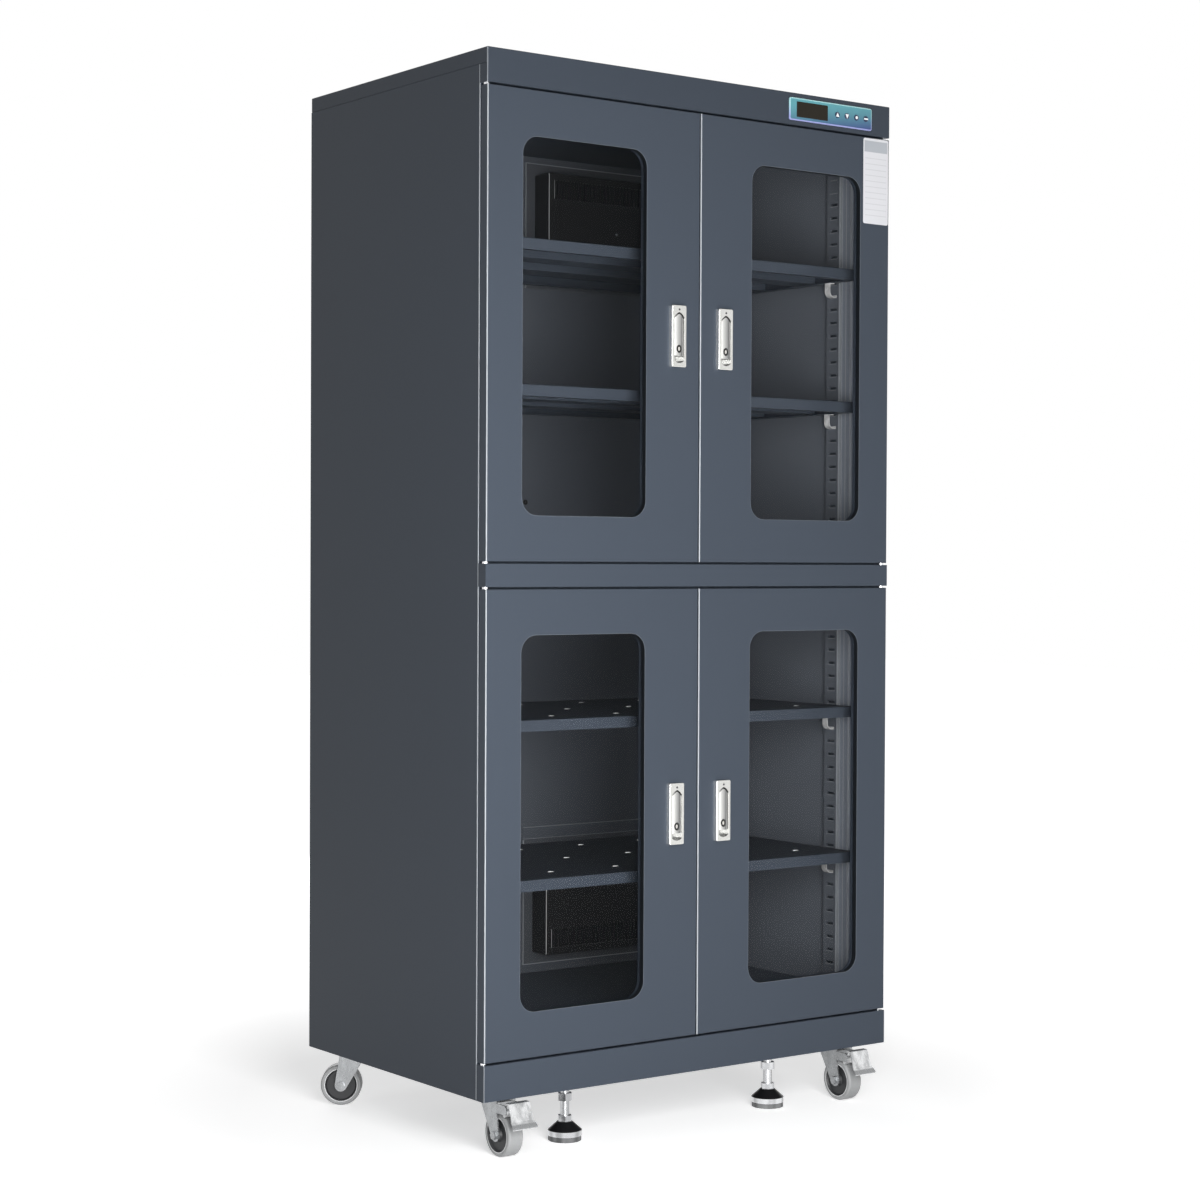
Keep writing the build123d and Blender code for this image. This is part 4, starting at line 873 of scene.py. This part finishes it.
def stripHighlights(g):
    t = topStrip
    fromEdge = (g.z - stripBottom).min(stripBottom + t["height"] - g.z)
    return g.below(fromEdge, t["fold"], 0.5 * mm) * t["foldHighlight"]


def frameStrip():
    t = topStrip
    low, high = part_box("dehumidifier_frames")
    centre = ((low[0] + high[0]) / 2, high[1], stripBottom + t["height"] / 2)
    strip = roundedCard("unitFrameTopStrip", centre, (high[0] - low[0], t["height"]), t["corner"], t["thick"],
                        t["inset"])
    strip.data.materials.append(coatedSteel("powderCoatStrip", stripHighlights, 1.0, paintedLightBehindDoors))
    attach(strip, "cabinet")


frameStrip()
print("added the card, the screws and the strip")

studio = {"floorSize": 30.0, "floorColour": (0.8, 0.8, 0.8, 1), "floorLift": 0.57, "nearFloor": 0.68,
          "farFloor": 1.6, "white": (1, 1, 1, 1), "worldLight": 0.11}


# 1 where the camera looks, straight, in a reflection or through glass, and 0 for other light
def shownLight(g):
    seen, glossy, through = (g.add("ShaderNodeLightPath", out="Is %s Ray" % kind)
                             for kind in ("Camera", "Glossy", "Transmission"))
    return seen.max(glossy).max(through)


# floor: plain pale, lit up towards white away from the cabinet, so that only its shadow shows
def floorMaterial():
    g = Graph("paleFloor")
    shown = shownLight(g)
    plain = g.add("ShaderNodeBsdfDiffuse", {}, {"Color": studio["floorColour"]})
    away = (g.x * g.x + g.y * g.y) ** 0.5
    lift = g.add("ShaderNodeMapRange", {"clamp": True}, {"Value": away, "From Min": studio["nearFloor"],
                 "From Max": studio["farFloor"], "To Min": studio["floorLift"], "To Max": 1.0})
    glow = g.add("ShaderNodeEmission", {}, {"Color": studio["white"], "Strength": shown * lift})
    return g.output(g.add("ShaderNodeAddShader", {}, {0: plain, 1: glow}))


half = studio["floorSize"] / 2
floorMesh = bpy.data.meshes.new("studioFloor")
floorCorners = [(-half, -half, 0), (half, -half, 0), (half, half, 0), (-half, half, 0)]
floorMesh.from_pydata(floorCorners, [], [(0, 1, 2, 3)])
floor = bpy.data.objects.new("studioFloor", floorMesh)
bpy.context.scene.collection.objects.link(floor)
floorMesh.materials.append(floorMaterial())


# world: white where it is seen, a low even light on the object
def studioWorld():
    g = Graph("studioWorld", world=True)
    level = g.add("ShaderNodeMapRange", {},
                  {"Value": shownLight(g), "To Min": studio["worldLight"], "To Max": 1.0})
    return g.output(g.add("ShaderNodeBackground", {}, {"Color": studio["white"], "Strength": level}))


bpy.context.scene.world = studioWorld()

lamps = {
    "keyLamp": {"at": (-1.0, -2.3, 0.85), "towards": (-0.15, 0, 0.85), "size": (1.2, 1.9), "watts": 92},
    "fillLamp": {"at": (3.4, -2.6, 2.0), "towards": (0, 0, 0.9), "size": (2.2, 2.6), "watts": 4},
    "topLamp": {"at": (0.0, 0.4, 4.6), "towards": (0, 0, 0), "size": (3.0, 3.0), "watts": 10},
    "backLamp": {"at": (1.2, 3.6, 1.4), "towards": (0, 0, 0.95), "size": (2.0, 2.2), "watts": 34},
}


def unit(vector):
    return vector / np.linalg.norm(vector)


# a turn whose -Z looks along forward, with X level, then rolled about the line of sight
def lookTurn(forward, roll=0.0):
    forward = unit(np.array(forward, float))
    right = unit(np.cross(forward, (0, 0, 1)))
    up = np.cross(right, forward)
    c, s = math.cos(roll), math.sin(roll)
    right, up = c * right + s * up, -s * right + c * up
    return Matrix(np.stack([right, up, -forward], 1).tolist()).to_euler()


for name, lamp in lamps.items():
    data = bpy.data.lights.new(name, "AREA")
    data.shape, data.size, data.size_y, data.energy = "RECTANGLE", *lamp["size"], lamp["watts"]
    light = bpy.data.objects.new(name, data)
    light.location = lamp["at"]
    light.rotation_euler = lookTurn(np.array(lamp["towards"]) - np.array(lamp["at"]))
    bpy.context.scene.collection.objects.link(light)

# camera: angles in degrees, and its place in mm from the body's lower left front corner
view = {"yaw": -36.23, "pitch": -0.919, "roll": 0.252, "place": (-2245.7, -3385.4, 901.7), "lens": 73.58,
        "sensor": 36.0, "clipEnd": 100.0}
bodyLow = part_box("side_panel_left")[0]
corner = np.array((bodyLow[0], frontY, bodyLow[2]))
yaw, pitch, roll = (math.radians(view[key]) for key in ("yaw", "pitch", "roll"))
sight = (-math.sin(yaw) * math.cos(pitch), math.cos(yaw) * math.cos(pitch), math.sin(pitch))
cameraData = bpy.data.cameras.new("studioCamera")
cameraData.lens, cameraData.sensor_width, cameraData.sensor_fit = view["lens"], view["sensor"], "HORIZONTAL"
cameraData.clip_end = view["clipEnd"]
camera = bpy.data.objects.new("studioCamera", cameraData)
camera.location = corner + np.array(view["place"]) * mm
camera.rotation_euler = lookTurn(sight, roll)
bpy.context.scene.collection.objects.link(camera)
bpy.context.scene.camera = camera
bpy.context.scene.view_settings.view_transform = "Standard"
print("set the floor, the lamps and the camera")
